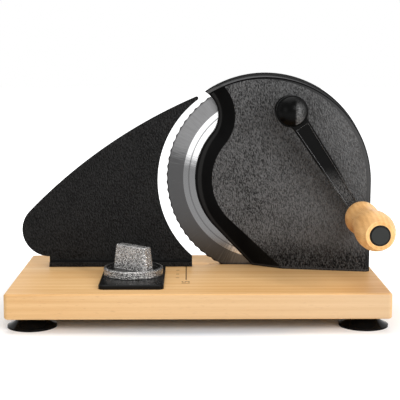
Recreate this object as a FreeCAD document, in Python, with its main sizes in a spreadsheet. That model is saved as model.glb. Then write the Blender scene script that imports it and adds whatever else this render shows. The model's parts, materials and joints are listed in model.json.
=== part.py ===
import FreeCAD, Part
import math
import os

import Sketcher

# Hand-cranked bread slicer.  +X right, +Y away from the crank side, +Z up, millimetres.
# Origin: middle of the board's footprint, on the table that the suction feet stand on.
# The loaf lies on the far side (+Y) of the blade, and the slices fall on the crank side.

DRIVING = (
    ("base_length", 350, "beech board, left to right"),
    ("base_depth", 184, "beech board, front to back"),
    ("base_thickness", 23.5, "beech board"),
    ("base_corner", 4, "radius of the board's upright corners"),
    ("base_round", 2, "rounding of the board's top and bottom edges"),
    ("foot_height", 12.5, "table to the underside of the board"),
    ("foot_radius", 22.8, "rim of the suction cup"),
    ("foot_neck_radius", 11, "top of the suction cup, under the board"),
    ("foot_rim", 1.6, "width and height of the cup's sealing lip"),
    ("foot_wall", 3, "rubber of the cup"),
    ("foot_side_inset", 21.7, "cup centre from the board's end"),
    ("foot_edge_inset", 28, "cup centre from the board's long edge"),
    ("foot_screw_radius", 2, "wood screw through the cup"),
    ("foot_screw_head_radius", 4.5, "pan head inside the cup"),
    ("foot_screw_head", 2.5, "height of that head"),
    ("foot_screw_length", 16, "under the head"),
    ("loaf_plane", 44, "face that the loaf slides along, behind the board's middle"),
    ("blade_sink", 10.5, "lowest tip of the blade, below the board's surface"),
    ("blade_radius", 99, "tips of the serrations"),
    ("blade_thickness", 1.2, "steel of the blade"),
    ("blade_edge", 0.3, "steel left at the cutting edge"),
    ("bevel_width", 17, "ground bevel on the slice side"),
    ("blade_ring_radius", 76, "ring rolled into the slice side"),
    ("blade_ring_width", 0.8, "width of that ring"),
    ("blade_ring_depth", 0.25, "depth of that ring"),
    ("serrations", 76, "scallops round the edge"),
    ("serration_radius", 8, "radius of one scallop"),
    ("serration_depth", 0.8, "depth of one scallop"),
    ("slot_gap", 2, "blade slot beyond the blade, each way"),
    ("slot_end_gap", 6, "blade slot beyond the blade, at its ends"),
    ("slot_floor_gap", 3, "blade slot below the blade"),
    ("gear_teeth", 70, "wheel on the blade"),
    ("pinion_teeth", 28, "pinion on the crank"),
    ("pressure_angle", 20, "all teeth, degrees"),
    ("gear_face", 5, "width of the drive teeth"),
    ("tooth_root", 1.25, "depth of all teeth below the pitch line, in modules"),
    ("backlash", 0.12, "play between teeth on the pitch circle"),
    ("crank_bearing", 72, "direction of the crank axis from the blade axis, degrees"),
    ("running_gap", 0.3, "between faces that turn past each other"),
    ("blade_gap", 1.8, "blade to the floor of its recess"),
    ("axle_radius", 5, "blade axle"),
    ("running_fit", 0.05, "radial play of every journal"),
    ("bush_wall", 2, "bronze bushes"),
    ("seat_fit", 0.02, "radial play of pressed and threaded seats"),
    ("hub_radius", 30, "blade seat on the gear"),
    ("hub_web", 2.5, "gear web behind its hollow face"),
    ("hub_core_radius", 13, "solid middle of the gear"),
    ("gear_rim", 6, "solid rim inside the teeth"),
    ("spigot_radius", 15, "centres the blade on the gear"),
    ("clamp_radius", 31, "clamp plate on the loaf side"),
    ("clamp_thickness", 2.4, "clamp plate"),
    ("clamp_bevel", 0.6, "bevel on its outer rim"),
    ("clamp_bore_radius", 10.5, "middle hole of the clamp plate"),
    ("clamp_screws", 3, "screws through clamp plate and blade"),
    ("clamp_pitch_radius", 22.5, "circle of those screws"),
    ("clamp_screw_radius", 2, "shank of those screws"),
    ("clamp_screw_head_radius", 3.8, "countersunk head"),
    ("clamp_screw_hole_gap", 0.2, "clearance hole, radial"),
    ("clamp_screw_length", 7.5, "whole length"),
    ("axle_washer_radius", 8.5, "washer that keeps the gear on its axle"),
    ("axle_washer_room", 0.8, "round that washer"),
    ("axle_end_play", 0.1, "gear between washer and boss"),
    ("axle_washer_thickness", 1, "that washer"),
    ("axle_screw_radius", 2.5, "screw in the end of the axle"),
    ("axle_screw_head_radius", 4.5, "its head"),
    ("axle_screw_head", 1.4, "height of its head"),
    ("axle_screw_length", 10, "under the head"),
    ("axle_seat", 9.5, "length of axle pressed into the housing"),
    ("recess_gap", 3, "recess beyond the tips of the blade"),
    ("housing_rim", 4, "metal round that recess"),
    ("housing_inset", 1, "housing from the board's right end"),
    ("housing_draft", 6, "draft of the outer wall, degrees"),
    ("housing_depth", 22.5, "loaf plane to the front face, at the blade axis"),
    ("face_slope", 10.8, "front face runs forward to the right, degrees"),
    ("housing_round", 4.5, "rounding between the front face and the rim"),
    ("housing_wall", 4, "cast wall"),
    ("housing_shoulder", 6, "metal between the hollow and the wall of the recess"),
    ("housing_floor", 12, "cast metal over the board, for the screws"),
    ("scoop_rim", 14.8, "edge of the slice opening beyond the gear pocket"),
    ("notch_radius", 28, "round notch above the slice opening"),
    ("notch_bearing", 139.7, "direction of the notch from the blade axis, degrees"),
    ("scoop_foot", -12.2, "where the opening's edge meets the board, from the blade axis"),
    ("scoop_band", 16, "width of the sloping band along that edge"),
    ("scoop_band_foot", 18, "where the front of that band meets the board, from the axis"),
    ("scoop_foot_wall", 8, "metal beside the foot of that band"),
    ("scoop_lip", 3, "thin lip left at the blade"),
    ("gear_pocket_gap", 1.2, "cavity beyond the tips of the teeth"),
    ("crank_inset", 32.5, "crank axis inside the rim of the housing"),
    ("axle_boss_radius", 12, "boss inside the housing"),
    ("crank_boss_radius", 14.5, "boss for the crank bush"),
    ("crank_boss_proud", 1.3, "that boss beyond the foremost edge of the housing"),
    ("boss_bevel", 1, "bevel on its front edge"),
    ("housing_screw_radius", 2.5, "screws up through the board"),
    ("housing_screw_head_radius", 5, "their heads"),
    ("housing_screw_head", 3, "height of their heads"),
    ("housing_screw_grip", 9.5, "thread in the housing"),
    ("housing_screw_hole_gap", 0.3, "clearance hole in the board, radial"),
    ("housing_screw_first", 22, "first screw, right of the blade axis"),
    ("housing_screw_pitch", 34, "screw to screw"),
    ("housing_screw_count", 3, "screws"),
    ("housing_screw_set", 13, "screws in front of the loaf plane"),
    ("crank_radius", 5, "crank shaft journal"),
    ("crank_head_radius", 7, "head behind the pinion"),
    ("crank_head", 0.9, "thickness of that head"),
    ("crank_seat_radius", 4, "shaft inside the arm"),
    ("crank_flat", 3, "flat on that seat, from the axis"),
    ("pinion_flat", 4, "flat under the pinion, from the axis"),
    ("flat_fit", 0.05, "flat to flat"),
    ("crank_thread_radius", 3, "threaded end"),
    ("crank_thread", 6, "length of the threaded end"),
    ("washer_thickness", 1, "washer between boss and arm"),
    ("washer_radius", 12, "that washer"),
    ("crank_throw", 122, "crank axis to handle axis"),
    ("crank_rest", 33.5, "arm from straight down towards the right, degrees"),
    ("arm_thickness", 7, "cast arm"),
    ("arm_hub_radius", 15.5, "round end on the shaft"),
    ("arm_root_width", 17, "arm beside the hub"),
    ("arm_tip_width", 12.5, "arm beside the handle"),
    ("arm_tip_radius", 10, "round end under the handle"),
    ("arm_rib", 2, "raised border of the arm"),
    ("arm_hollow", 1.2, "depth inside that border"),
    ("arm_round", 1, "rounding of the arm's front edges"),
    ("arm_blend", 5, "between the arm and its round ends"),
    ("cap_radius", 14.2, "domed nut on the shaft"),
    ("cap_skirt", 2.5, "upright side of that nut"),
    ("cap_height", 10.5, "whole nut"),
    ("handle_length", 104, "turned wooden handle"),
    ("handle_belly_radius", 17.8, "near the free end"),
    ("handle_waist_radius", 13.6, "between belly and collar"),
    ("handle_collar_radius", 16.4, "beside the arm"),
    ("handle_end_radius", 12.5, "flat end of the wood"),
    ("handle_tail_radius", 11.5, "flat end beside the arm"),
    ("handle_belly_at", 78, "belly from the arm"),
    ("handle_waist_at", 30, "waist from the arm"),
    ("handle_collar_at", 8, "collar from the arm"),
    ("bolt_radius", 4, "handle bolt"),
    ("bolt_thread_radius", 3.5, "its end in the arm"),
    ("bolt_head_radius", 7, "its head inside the handle"),
    ("bolt_head", 3.5, "height of its head"),
    ("bolt_collar_radius", 6.5, "shoulder against the arm"),
    ("bolt_collar", 1, "thickness of that shoulder"),
    ("sleeve_wall", 1.5, "steel sleeve inside the wood"),
    ("head_room", 1.2, "round and above the bolt head"),
    ("plug_radius", 9.3, "end cap in the wood"),
    ("plug_depth", 3.5, "seat of the end cap"),
    ("plug_proud", 1.2, "end cap beyond the wood"),
    ("slice_opening", 6.7, "fence to loaf plane, as it stands"),
    ("slice_maximum", 15, "fence to loaf plane, fully open"),
    ("fence_thickness", 4, "cast fence"),
    ("fence_left", 149, "left end of the fence foot, left of the middle"),
    ("fence_heel_height", 10.2, "where the curved edge starts, above the board"),
    ("fence_blade_gap", 8.1, "that corner beyond the blade"),
    ("fence_foot_depth", 8.5, "fence foot, front to back"),
    ("fence_foot_height", 4.7, "fence foot"),
    ("fence_nose_radius", 27.2, "round left end"),
    ("fence_nose_height", 37.3, "its centre above the board"),
    ("fence_back_radius", 517.8, "long curve of the top edge"),
    ("fence_edge_gap", 3.2, "radius of the curved edge, more than the blade"),
    ("fence_tip_gap", 6.9, "middle of the rounded tip beyond the blade"),
    ("fence_tip_bearing", 130.25, "direction of that tip from the blade axis, degrees"),
    ("fence_tip_radius", 1.8, "rounded tip"),
    ("fence_round", 0.8, "rounding of the fence's edges"),
    ("fence_fillet", 2, "between the fence and its foot"),
    ("fence_lift", 0.3, "foot over the board"),
    ("fence_key_width", 34, "key under the foot, in the groove"),
    ("slide_width", 41, "bar under the fence"),
    ("slide_thickness", 6, "that bar"),
    ("slide_tail", 14, "bar behind the fence"),
    ("slide_nose", 8, "bar in front of its window"),
    ("slide_fit", 0.3, "bar to its groove, at the sides"),
    ("slide_sink", 0.3, "bar below the board's surface"),
    ("window_gap", 1.5, "window beyond the pinion at its limits"),
    ("rack_module", 1, "rack and its pinion"),
    ("adjuster_teeth", 18, "teeth on the adjuster pinion"),
    ("fence_screw_radius", 1.8, "screws up into the fence foot"),
    ("fence_screw_head_radius", 3.4, "their countersunk heads"),
    ("fence_screw_grip", 3.6, "thread in the foot"),
    ("fence_screw_spread", 28, "screw to screw"),
    ("knob_offset", 61.5, "knob axis, left of the middle"),
    ("knob_inset", 68, "knob axis behind the board's front edge"),
    ("cover_margin", 9.5, "black cover plate beyond the bar, each side"),
    ("cover_thickness", 4.3, "that plate"),
    ("cover_front_inset", 18.5, "plate behind the board's front edge"),
    ("cover_fence_gap", 2.5, "plate to the fence foot, fully open"),
    ("cover_corner", 5, "round front corners of the plate"),
    ("cover_bevel", 1, "bevelled top edge of the plate"),
    ("cover_screw_radius", 1.8, "screws up into the plate"),
    ("cover_screw_head_radius", 3.5, "their heads"),
    ("cover_screw_head", 2.4, "height of their heads"),
    ("cover_screw_recess", 10, "their heads above the board's underside"),
    ("cover_screw_setback", 9, "screws from the plate's ends"),
    ("cover_screw_grip", 3, "thread in the plate"),
    ("spindle_radius", 4, "knob spindle"),
    ("spindle_flat", 3.2, "flats under pinion and knob, from the axis"),
    ("spindle_foot", 8, "spindle in the board below the bar"),
    ("spindle_seat", 16, "spindle inside the knob"),
    ("knob_radius", 28.3, "dished flange of the knob"),
    ("knob_flange", 7, "height of that flange"),
    ("knob_dish", 2, "depth of the dish"),
    ("knob_rim", 2.2, "width of the rim round the dish"),
    ("knob_height", 27.5, "whole knob"),
    ("knob_grip_length", 43, "grip at its root"),
    ("knob_grip_width", 15, "grip at its root"),
    ("knob_grip_taper", 7, "grip leans in, degrees"),
    ("knob_grip_corner", 4.6, "upright corners of the grip"),
    ("knob_grip_round", 1.7, "rounding of the grip's top"),
    ("knob_flange_round", 1.5, "rounding of the flange"),
    ("knob_rest", -40.5, "grip from the board's long edge, degrees"),
    ("screw_slot", 1, "driver slot, width and depth"),
    ("overrun", 10, "cutting shapes beyond the metal"),
)



def curve_centre(name, start, start_reach, end, end_reach):
    """Rows for the centre that lies at two reaches from two points, right of start to end."""
    right, up, span, along, aside = (
        f"places.{name}_{part}" for part in ("right", "up", "span", "along", "aside"))
    return (
        (f"{name}_right", f"{end[0]} - {start[0]}"),
        (f"{name}_up", f"{end[1]} - {start[1]}"),
        (f"{name}_span", f"sqrt({right} ^ 2 + {up} ^ 2)"),
        (f"{name}_along",
         f"({span} ^ 2 + ({start_reach}) ^ 2 - ({end_reach}) ^ 2) / (2 * {span})"),
        (f"{name}_aside", f"sqrt(({start_reach}) ^ 2 - {along} ^ 2)"),
        (f"{name}_x", f"{start[0]} + ({along} * {right} + {aside} * {up}) / {span}"),
        (f"{name}_z", f"{start[1]} + ({along} * {up} - {aside} * {right}) / {span}"),
    )


FENCE_HEEL = ("places.fence_right", "places.fence_heel")
FENCE_TIP = ("places.fence_tip_x", "places.fence_tip_z")
FENCE_NOSE = ("(-dims.fence_left)", "places.fence_nose_z")

# Places worked out from the driving sizes.
DERIVED = (
    ("base_top", "dims.foot_height + dims.base_thickness"),
    ("base_front", "-dims.base_depth / 2"),
    ("recess_radius", "dims.blade_radius + dims.recess_gap"),
    ("housing_radius", "places.recess_radius + dims.housing_rim"),
    ("blade_x", "dims.base_length / 2 - dims.housing_inset - places.housing_radius"),
    ("axis_height", "dims.blade_radius - dims.blade_sink"),
    ("axis_z", "places.base_top + places.axis_height"),
    ("under_cut", "-(places.axis_height + 2 * dims.overrun)"),
    ("blade_front", "dims.loaf_plane - dims.blade_thickness"),
    ("recess_floor", "places.blade_front - dims.blade_gap"),
    ("gear_rear", "places.recess_floor - dims.running_gap"),
    ("gear_front", "places.gear_rear - dims.gear_face"),
    ("pocket_floor", "places.gear_front - dims.running_gap"),
    ("crank_reach", "places.housing_radius - dims.crank_inset"),
    ("gear_module", "2 * places.crank_reach / (dims.gear_teeth + dims.pinion_teeth)"),
    ("gear_radius", "places.gear_module * dims.gear_teeth / 2"),
    ("pinion_radius", "places.gear_module * dims.pinion_teeth / 2"),
    ("gear_pocket", "places.gear_radius + places.gear_module + dims.gear_pocket_gap"),
    ("pinion_pocket", "places.pinion_radius + places.gear_module + dims.gear_pocket_gap"),
    ("crank_right", "places.crank_reach * cos(dims.crank_bearing)"),
    ("crank_up", "places.crank_reach * sin(dims.crank_bearing)"),
    ("crank_x", "places.blade_x + places.crank_right"),
    ("crank_z", "places.axis_z + places.crank_up"),
    ("face_at_axis", "dims.loaf_plane - dims.housing_depth"),
    ("face_rise", "tan(dims.face_slope)"),
    ("face_foremost", "places.face_at_axis - places.face_rise * places.housing_radius"),
    ("crank_boss_front", "places.face_foremost - dims.crank_boss_proud"),
    ("bush_bore", "dims.crank_radius + dims.running_fit"),
    ("bush_outer", "places.bush_bore + dims.bush_wall"),
    ("axle_bore", "dims.axle_radius + dims.running_fit"),
    ("bush_outer_blade", "places.axle_bore + dims.bush_wall"),
    ("washer_front", "places.crank_boss_front - dims.running_gap - dims.washer_thickness"),
    ("arm_rear", "places.washer_front"),
    ("arm_front", "places.arm_rear - dims.arm_thickness"),
    ("handle_x", "places.crank_x + dims.crank_throw * sin(dims.crank_rest)"),
    ("handle_z", "places.crank_z - dims.crank_throw * cos(dims.crank_rest)"),
    ("handle_rear", "places.arm_front - dims.bolt_collar - dims.running_gap"),
    ("handle_front", "places.handle_rear - dims.handle_length"),
    ("plug_seat", "places.handle_front + dims.plug_depth"),
    ("bolt_head_front", "places.plug_seat + dims.head_room"),
    ("bolt_head_rear", "places.bolt_head_front + dims.bolt_head"),
    ("sleeve_front", "places.bolt_head_rear + dims.running_gap"),
    ("sleeve_bore", "dims.bolt_radius + dims.running_fit"),
    ("sleeve_outer", "places.sleeve_bore + dims.sleeve_wall"),
    ("axle_front", "places.pocket_floor - dims.axle_seat"),
    ("scoop_radius", "places.gear_pocket + dims.scoop_rim"),
    ("notch_reach", "places.scoop_radius + dims.notch_radius"),
    ("lip_front", "places.recess_floor - dims.scoop_lip"),
    ("core_radius", "places.recess_radius - dims.housing_shoulder"),
    ("fence_rear", "dims.loaf_plane - dims.slice_opening"),
    ("fence_front", "places.fence_rear - dims.fence_thickness"),
    ("foot_front", "places.fence_rear - dims.fence_foot_depth"),
    ("foot_middle", "(places.fence_rear + places.foot_front) / 2"),
    ("fence_bottom", "places.base_top + dims.fence_lift"),
    ("fence_heel_drop", "places.axis_height - dims.fence_heel_height"),
    ("fence_right", "places.blade_x - sqrt((dims.blade_radius + dims.fence_blade_gap) ^ 2"
                    " - places.fence_heel_drop ^ 2)"),
    ("fence_heel", "places.base_top + dims.fence_heel_height"),
    ("fence_nose_z", "places.base_top + dims.fence_nose_height"),
    ("fence_tip_reach", "dims.blade_radius + dims.fence_tip_gap"),
    ("fence_tip_x", "places.blade_x + places.fence_tip_reach * cos(dims.fence_tip_bearing)"),
    ("fence_tip_z", "places.axis_z + places.fence_tip_reach * sin(dims.fence_tip_bearing)"),
    ("fence_edge_radius", "dims.blade_radius + dims.fence_edge_gap"),
    *curve_centre("fence_edge", FENCE_HEEL, "places.fence_edge_radius",
                  FENCE_TIP, "places.fence_edge_radius + dims.fence_tip_radius"),
    *curve_centre("fence_back", FENCE_NOSE, "dims.fence_back_radius - dims.fence_nose_radius",
                  FENCE_TIP, "dims.fence_back_radius - dims.fence_tip_radius"),
    ("open_travel", "dims.slice_maximum - dims.slice_opening"),
    ("knob_x", "-dims.knob_offset"),
    ("knob_y", "places.base_front + dims.knob_inset"),
    ("adjuster_radius", "dims.rack_module * dims.adjuster_teeth / 2"),
    ("adjuster_tip", "places.adjuster_radius + dims.rack_module"),
    ("rack_root", "places.adjuster_radius + dims.tooth_root * dims.rack_module"),
    ("rack_pitch", "pi * dims.rack_module"),
    ("window_left", "places.adjuster_tip + dims.window_gap"),
    ("window_front", "places.adjuster_tip + dims.slice_opening + dims.window_gap"),
    ("window_rear", "places.adjuster_tip + places.open_travel + dims.window_gap"),
    ("teeth_in_front", "floor(places.window_front / places.rack_pitch - 0.5)"),
    ("teeth_behind", "floor(places.window_rear / places.rack_pitch - 0.5)"),
    ("slide_top", "places.base_top - dims.slide_sink"),
    ("slide_bottom", "places.slide_top - dims.slide_thickness"),
    ("slide_front", "places.knob_y - places.window_front - dims.slide_nose"),
    ("slide_rear", "places.fence_rear + dims.slide_tail"),
    ("groove_floor", "places.slide_bottom - dims.slide_fit"),
    ("groove_half", "dims.slide_width / 2 + dims.slide_fit"),
    ("groove_front", "places.slide_front - places.open_travel - dims.window_gap"),
    ("groove_rear", "places.slide_rear + dims.slice_opening + dims.window_gap"),
    ("spindle_bottom", "places.groove_floor - dims.spindle_foot"),
    ("cover_half", "dims.slide_width / 2 + dims.cover_margin"),
    ("cover_front", "places.base_front + dims.cover_front_inset"),
    ("cover_rear", "places.foot_front - places.open_travel - dims.cover_fence_gap"),
    ("cover_top", "places.base_top + dims.cover_thickness"),
    ("cover_screw_x", "places.cover_half - dims.cover_margin / 2"),
    ("knob_bottom", "places.cover_top + dims.running_gap"),
)

doc = FreeCAD.newDocument("bread_slicer")


def fill_sheet(name, rows):
    """Make a spreadsheet with one named value per row."""
    table = doc.addObject("Spreadsheet::Sheet", name)
    for number, (alias, content, *note) in enumerate(rows, start=1):
        table.set(f"A{number}", alias)
        table.set(f"B{number}", content)
        table.setAlias(f"B{number}", alias)
        if note:
            table.set(f"C{number}", note[0])
    return table


dims = fill_sheet("dims", [(alias, str(number), note) for alias, number, note in DRIVING])
places = fill_sheet("places", [(alias, "=" + formula) for alias, formula in DERIVED])
doc.recompute()


def value(expression):
    """What an expression over the sheets comes to, as a plain number."""
    return float(dims.evalExpression(str(expression)))


# ---------------------------------------------------------------- outlines

def line(x, y):
    """A straight run that ends at (x, y)."""
    return ("line", x, y)


def arc(x, y, centre_x, centre_y, turn):
    """A round run that ends at (x, y); turn is 1 anticlockwise and -1 clockwise."""
    return ("arc", x, y, centre_x, centre_y, turn)


def bend(x, y, radius, turn):
    """A shallow round run that ends at (x, y), given by its radius."""
    return ("bend", x, y, radius, turn)


def polar(radius, angle, x="0", y="0"):
    """The point at a radius and an angle in degrees from (x, y)."""
    return f"{x} + ({radius}) * cos({angle})", f"{y} + ({radius}) * sin({angle})"


def rectangle(x_low, y_low, x_high, y_high):
    """The four sides of an upright rectangle."""
    return [line(x_low, y_low), line(x_high, y_low), line(x_high, y_high), line(x_low, y_high)]


def slot_outline(x_low, x_high, y_low, y_high):
    """A slot with round ends, long in x."""
    middle = f"(({y_low}) + ({y_high})) / 2"
    round_end = f"(({y_high}) - ({y_low})) / 2"
    left, right = f"{x_low} + {round_end}", f"{x_high} - {round_end}"
    return [line(left, y_low), line(right, y_low), arc(right, y_high, right, middle, 1),
            line(left, y_high), arc(left, y_low, left, middle, 1)][1:]


def bind(sketch, label, expression):
    """Tie a named constraint of a sketch to the sheets."""
    sketch.renameConstraint(sketch.ConstraintCount - 1, label)
    sketch.setExpression(f"Constraints.{label}", expression)


def add_circle(sketch, x, y, radius):
    """One circle, its centre and radius tied to the sheets."""
    number = sketch.GeometryCount
    centre = FreeCAD.Vector(value(x), value(y), 0)
    index = sketch.addGeometry(Part.Circle(centre, FreeCAD.Vector(0, 0, 1), value(radius)))
    sketch.addConstraint(Sketcher.Constraint("Radius", index, value(radius)))
    bind(sketch, f"radius_{number}", radius)
    for axis, place, start in (("X", x, centre.x), ("Y", y, centre.y)):
        sketch.addConstraint(Sketcher.Constraint("Distance" + axis, -1, 1, index, 3, start))
        bind(sketch, f"centre_{axis.lower()}_{number}", place)


def round_centre(start, end, step):
    """Where the centre of a round run lies, from its ends and its own data."""
    if step[0] == "arc":
        return FreeCAD.Vector(value(step[3]), value(step[4]), 0)
    radius, turn = value(step[3]), step[4]
    chord = end - start
    rise = math.sqrt(max(radius ** 2 - chord.Length ** 2 / 4, 0)) / chord.Length
    return (start + end) / 2 + FreeCAD.Vector(-chord.y, chord.x, 0) * turn * rise


def add_round_run(sketch, start, end, step, label):
    """An arc between two corners; returns its index and its start and end point numbers."""
    turn = step[-1]
    centre = round_centre(start, end, step)
    angles = [math.atan2(p.y - centre.y, p.x - centre.x) for p in (start, end)][::turn]
    circle = Part.Circle(centre, FreeCAD.Vector(0, 0, 1), (start - centre).Length)
    index = sketch.addGeometry(Part.ArcOfCircle(circle, *angles))
    if step[0] == "bend":
        sketch.addConstraint(Sketcher.Constraint("Radius", index, value(step[3])))
        bind(sketch, f"radius_{label}", step[3])
    else:
        chord = end - start
        across, place, at = ("Y", step[4], centre.y) if abs(chord.x) > abs(chord.y) else (
            "X", step[3], centre.x)
        sketch.addConstraint(Sketcher.Constraint("Distance" + across, -1, 1, index, 3, at))
        bind(sketch, f"centre_{label}", place)
    return (index, 1, 2) if turn > 0 else (index, 2, 1)


def add_path(sketch, path):
    """A closed run of lines and arcs, every corner tied to the sheets."""
    corners = [FreeCAD.Vector(value(step[1]), value(step[2]), 0) for step in path]
    first = sketch.GeometryCount
    runs = []
    for number, step in enumerate(path):
        start, end = corners[number - 1], corners[number]
        if step[0] == "line":
            runs.append((sketch.addGeometry(Part.LineSegment(start, end)), 1, 2))
        else:
            runs.append(add_round_run(sketch, start, end, step, f"{first}_{number}"))
    for number, (index, _, tail) in enumerate(runs):
        follower, head, _ = runs[(number + 1) % len(runs)]
        sketch.addConstraint(Sketcher.Constraint("Coincident", index, tail, follower, head))
        for axis, place, at in (("X", path[number][1], corners[number].x),
                                ("Y", path[number][2], corners[number].y)):
            sketch.addConstraint(Sketcher.Constraint("Distance" + axis, -1, 1, index, tail, at))
            bind(sketch, f"{axis.lower()}_{first}_{number}", place)


# ---------------------------------------------------------------- features

PLANE_NORMAL = {"XY": 1, "XZ": -1, "YZ": 1}


def new_body(label, x="0", y="0", z="0"):
    """A body whose placement is tied to the sheets."""
    body = doc.addObject("PartDesign::Body", label)
    body.Label = label
    for axis, place in zip("xyz", (x, y, z)):
        body.setExpression(f"Placement.Base.{axis}", place)
    return body


def new_sketch(body, plane, height="0", outlines=()):
    """A sketch parallel to an origin plane of its body; an outline is a path or a circle."""
    sketch = body.newObject("Sketcher::SketchObject", f"{body.Label}_sketch")
    support = next(f for f in body.Origin.OriginFeatures if f.Role == plane + "_Plane")
    sketch.AttachmentSupport = [(support, "")]
    sketch.MapMode = "FlatFace"
    sign = "-" if PLANE_NORMAL[plane] < 0 else ""
    sketch.setExpression("AttachmentOffset.Base.z", f"{sign}({height})")
    for outline in outlines:
        if isinstance(outline, tuple):
            add_circle(sketch, *outline)
        else:
            add_path(sketch, outline)
    doc.recompute([sketch])
    return sketch


def prism(body, plane, low, high, *outlines, cut=False, taper=None):
    """Pad or pocket the outlines from one height to another along the plane's axis."""
    start = high if PLANE_NORMAL[plane] < 0 else low
    sketch = new_sketch(body, plane, start, outlines)
    feature = body.newObject("PartDesign::Pocket" if cut else "PartDesign::Pad",
                             f"{body.Label}_{'pocket' if cut else 'pad'}")
    feature.Profile = sketch
    feature.setExpression("Length", f"({high}) - ({low})")
    feature.Reversed = cut
    if taper:
        feature.setExpression("TaperAngle", taper)
    sketch.Visibility = False
    return feature


def turned(body, plane, *outlines, cut=False, axis="V_Axis"):
    """Turn the outlines about the upright (V) or level (H) axis of their sketch."""
    sketch = new_sketch(body, plane, "0", outlines)
    feature = body.newObject("PartDesign::Groove" if cut else "PartDesign::Revolution",
                             f"{body.Label}_{'groove' if cut else 'turning'}")
    feature.Profile = sketch
    feature.ReferenceAxis = (sketch, [axis])
    feature.Angle = 360
    return feature


def ring_of(body, feature, count, axis):
    """Repeat a feature evenly round an origin axis of its body."""
    doc.recompute()
    pattern = body.newObject("PartDesign::PolarPattern", f"{body.Label}_ring")
    pattern.Originals = [feature]
    line_object = next(f for f in body.Origin.OriginFeatures if f.Role == axis + "_Axis")
    pattern.Axis = (line_object, [""])
    pattern.Angle = 360
    pattern.setExpression("Occurrences", count)
    body.Tip = pattern
    return pattern


def row_of(body, feature, count, length, axis):
    """Repeat a feature evenly along an origin axis of its body."""
    doc.recompute()
    pattern = body.newObject("PartDesign::LinearPattern", f"{body.Label}_row")
    pattern.Originals = [feature]
    line_object = next(f for f in body.Origin.OriginFeatures if f.Role == axis + "_Axis")
    pattern.Direction = (line_object, [""])
    pattern.setExpression("Length", length)
    pattern.setExpression("Occurrences", count)
    body.Tip = pattern
    return pattern


def dress_edges(body, kind, size, chosen):
    """Fillet or chamfer every edge of the body that the test picks."""
    doc.recompute()
    base = body.Tip
    names = [f"Edge{number}" for number, edge in enumerate(base.Shape.Edges, start=1)
             if chosen(edge)]
    feature = body.newObject(f"PartDesign::{kind}", f"{body.Label}_{kind.lower()}")
    feature.Base = (base, names)
    feature.setExpression("Radius" if kind == "Fillet" else "Size", size)
    return feature


def edge_level(edge, axis):
    """The height of an edge that lies square to an axis, or None."""
    box = edge.BoundBox
    low, high = getattr(box, axis + "Min"), getattr(box, axis + "Max")
    return (low + high) / 2 if high - low < 1e-4 else None


def at_level(axis, expression):
    """A test for the edges that lie at one height."""
    target = value(expression)

    def chosen(edge):
        level = edge_level(edge, axis)
        return level is not None and abs(level - target) < 1e-3

    return chosen


def upright(edge):
    """True for a straight edge along Z."""
    box = edge.BoundBox
    return box.XLength < 1e-4 and box.YLength < 1e-4


# ---------------------------------------------------------------- gear teeth

def involute_turn(base_radius, radius):
    """Degrees that an involute has swung round when it reaches a radius."""
    angle = f"acos(min(1; ({base_radius}) / ({radius})))"
    return f"((tan({angle}) - {angle} / 1rad) * 180 / pi)"


def tooth_gap(pitch_radius, module, teeth, facing):
    """Outline of the space between two teeth, its middle facing an angle in degrees."""
    base = f"({pitch_radius}) * cos(dims.pressure_angle)"
    tip = f"({pitch_radius}) + ({module})"
    root = f"({pitch_radius}) - dims.tooth_root * ({module})"
    start = f"max({root}; {base})"
    half_gap = f"(90 / ({teeth}) + dims.backlash / 2 / ({pitch_radius}) * 180 / pi)"
    at_pitch = involute_turn(base, pitch_radius)
    bow = f"sqrt((({start} + {tip}) / 2) ^ 2 - ({base}) ^ 2)"

    def flank(radius, side):
        swing = f"{half_gap} - {at_pitch} + {involute_turn(base, radius)}"
        return polar(radius, f"{facing} + {side} * ({swing})")

    def spoke(radius, side):
        swing = f"{half_gap} - {at_pitch}"
        return polar(radius, f"{facing} + {side} * ({swing})")

    beyond = f"{tip} + ({module}) / 2"
    path = [line(*flank_out(flank, tip, beyond, -1)), line(*flank(tip, -1)),
            bend(*flank(start, -1), bow, -1)]
    if value(start) > value(root):
        path.append(line(*spoke(root, -1)))
        path.append(arc(*spoke(root, 1), "0", "0", 1))
        path.append(line(*flank(start, 1)))
    else:
        path.append(arc(*flank(start, 1), "0", "0", 1))
    path.append(bend(*flank(tip, 1), bow, -1))
    path.append(line(*flank_out(flank, tip, beyond, 1)))
    return path


def flank_out(flank, tip, beyond, side):
    """The tip of a flank carried straight outwards, clear of the blank."""
    x, y = flank(tip, side)
    return f"({x}) * ({beyond}) / ({tip})", f"({y}) * ({beyond}) / ({tip})"


# ---------------------------------------------------------------- screws

def make_screw(label, x, y, z, shank, length, head_radius, head, plane="XZ", sign="", flat=True):
    """A slotted screw; its shank runs up (XZ) or back along Y (XY) from under the head."""
    body = new_body(label, x, y, z)
    edge = f"({head}) / 3"
    tip = f"({shank}) / 2"
    if flat:
        profile = [("0", f"-({head})"), (f"{head_radius} - {edge}", f"-({head})"),
                   (head_radius, f"-({head}) + {edge}"), (head_radius, "0"), (shank, "0")]
    else:
        profile = [("0", "0"), (head_radius, "0"), (shank, f"{head_radius} - ({shank})")]
    profile += [(shank, f"({length}) - {tip}"), (tip, length), ("0", length)]
    turned(body, plane, [line(r, f"{sign}({along})") for r, along in profile])
    top = f"-({head})" if flat else "0"
    low, high = sorted((f"{sign}({top})", f"{sign}({top} + dims.screw_slot)"), key=value)
    across = rectangle(f"-({head_radius})", "-dims.screw_slot / 2", head_radius,
                       "dims.screw_slot / 2")
    prism(body, "XY" if plane == "XZ" else "XZ", low, high, across, cut=True)
    return body


# ---------------------------------------------------------------- board and feet

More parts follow.
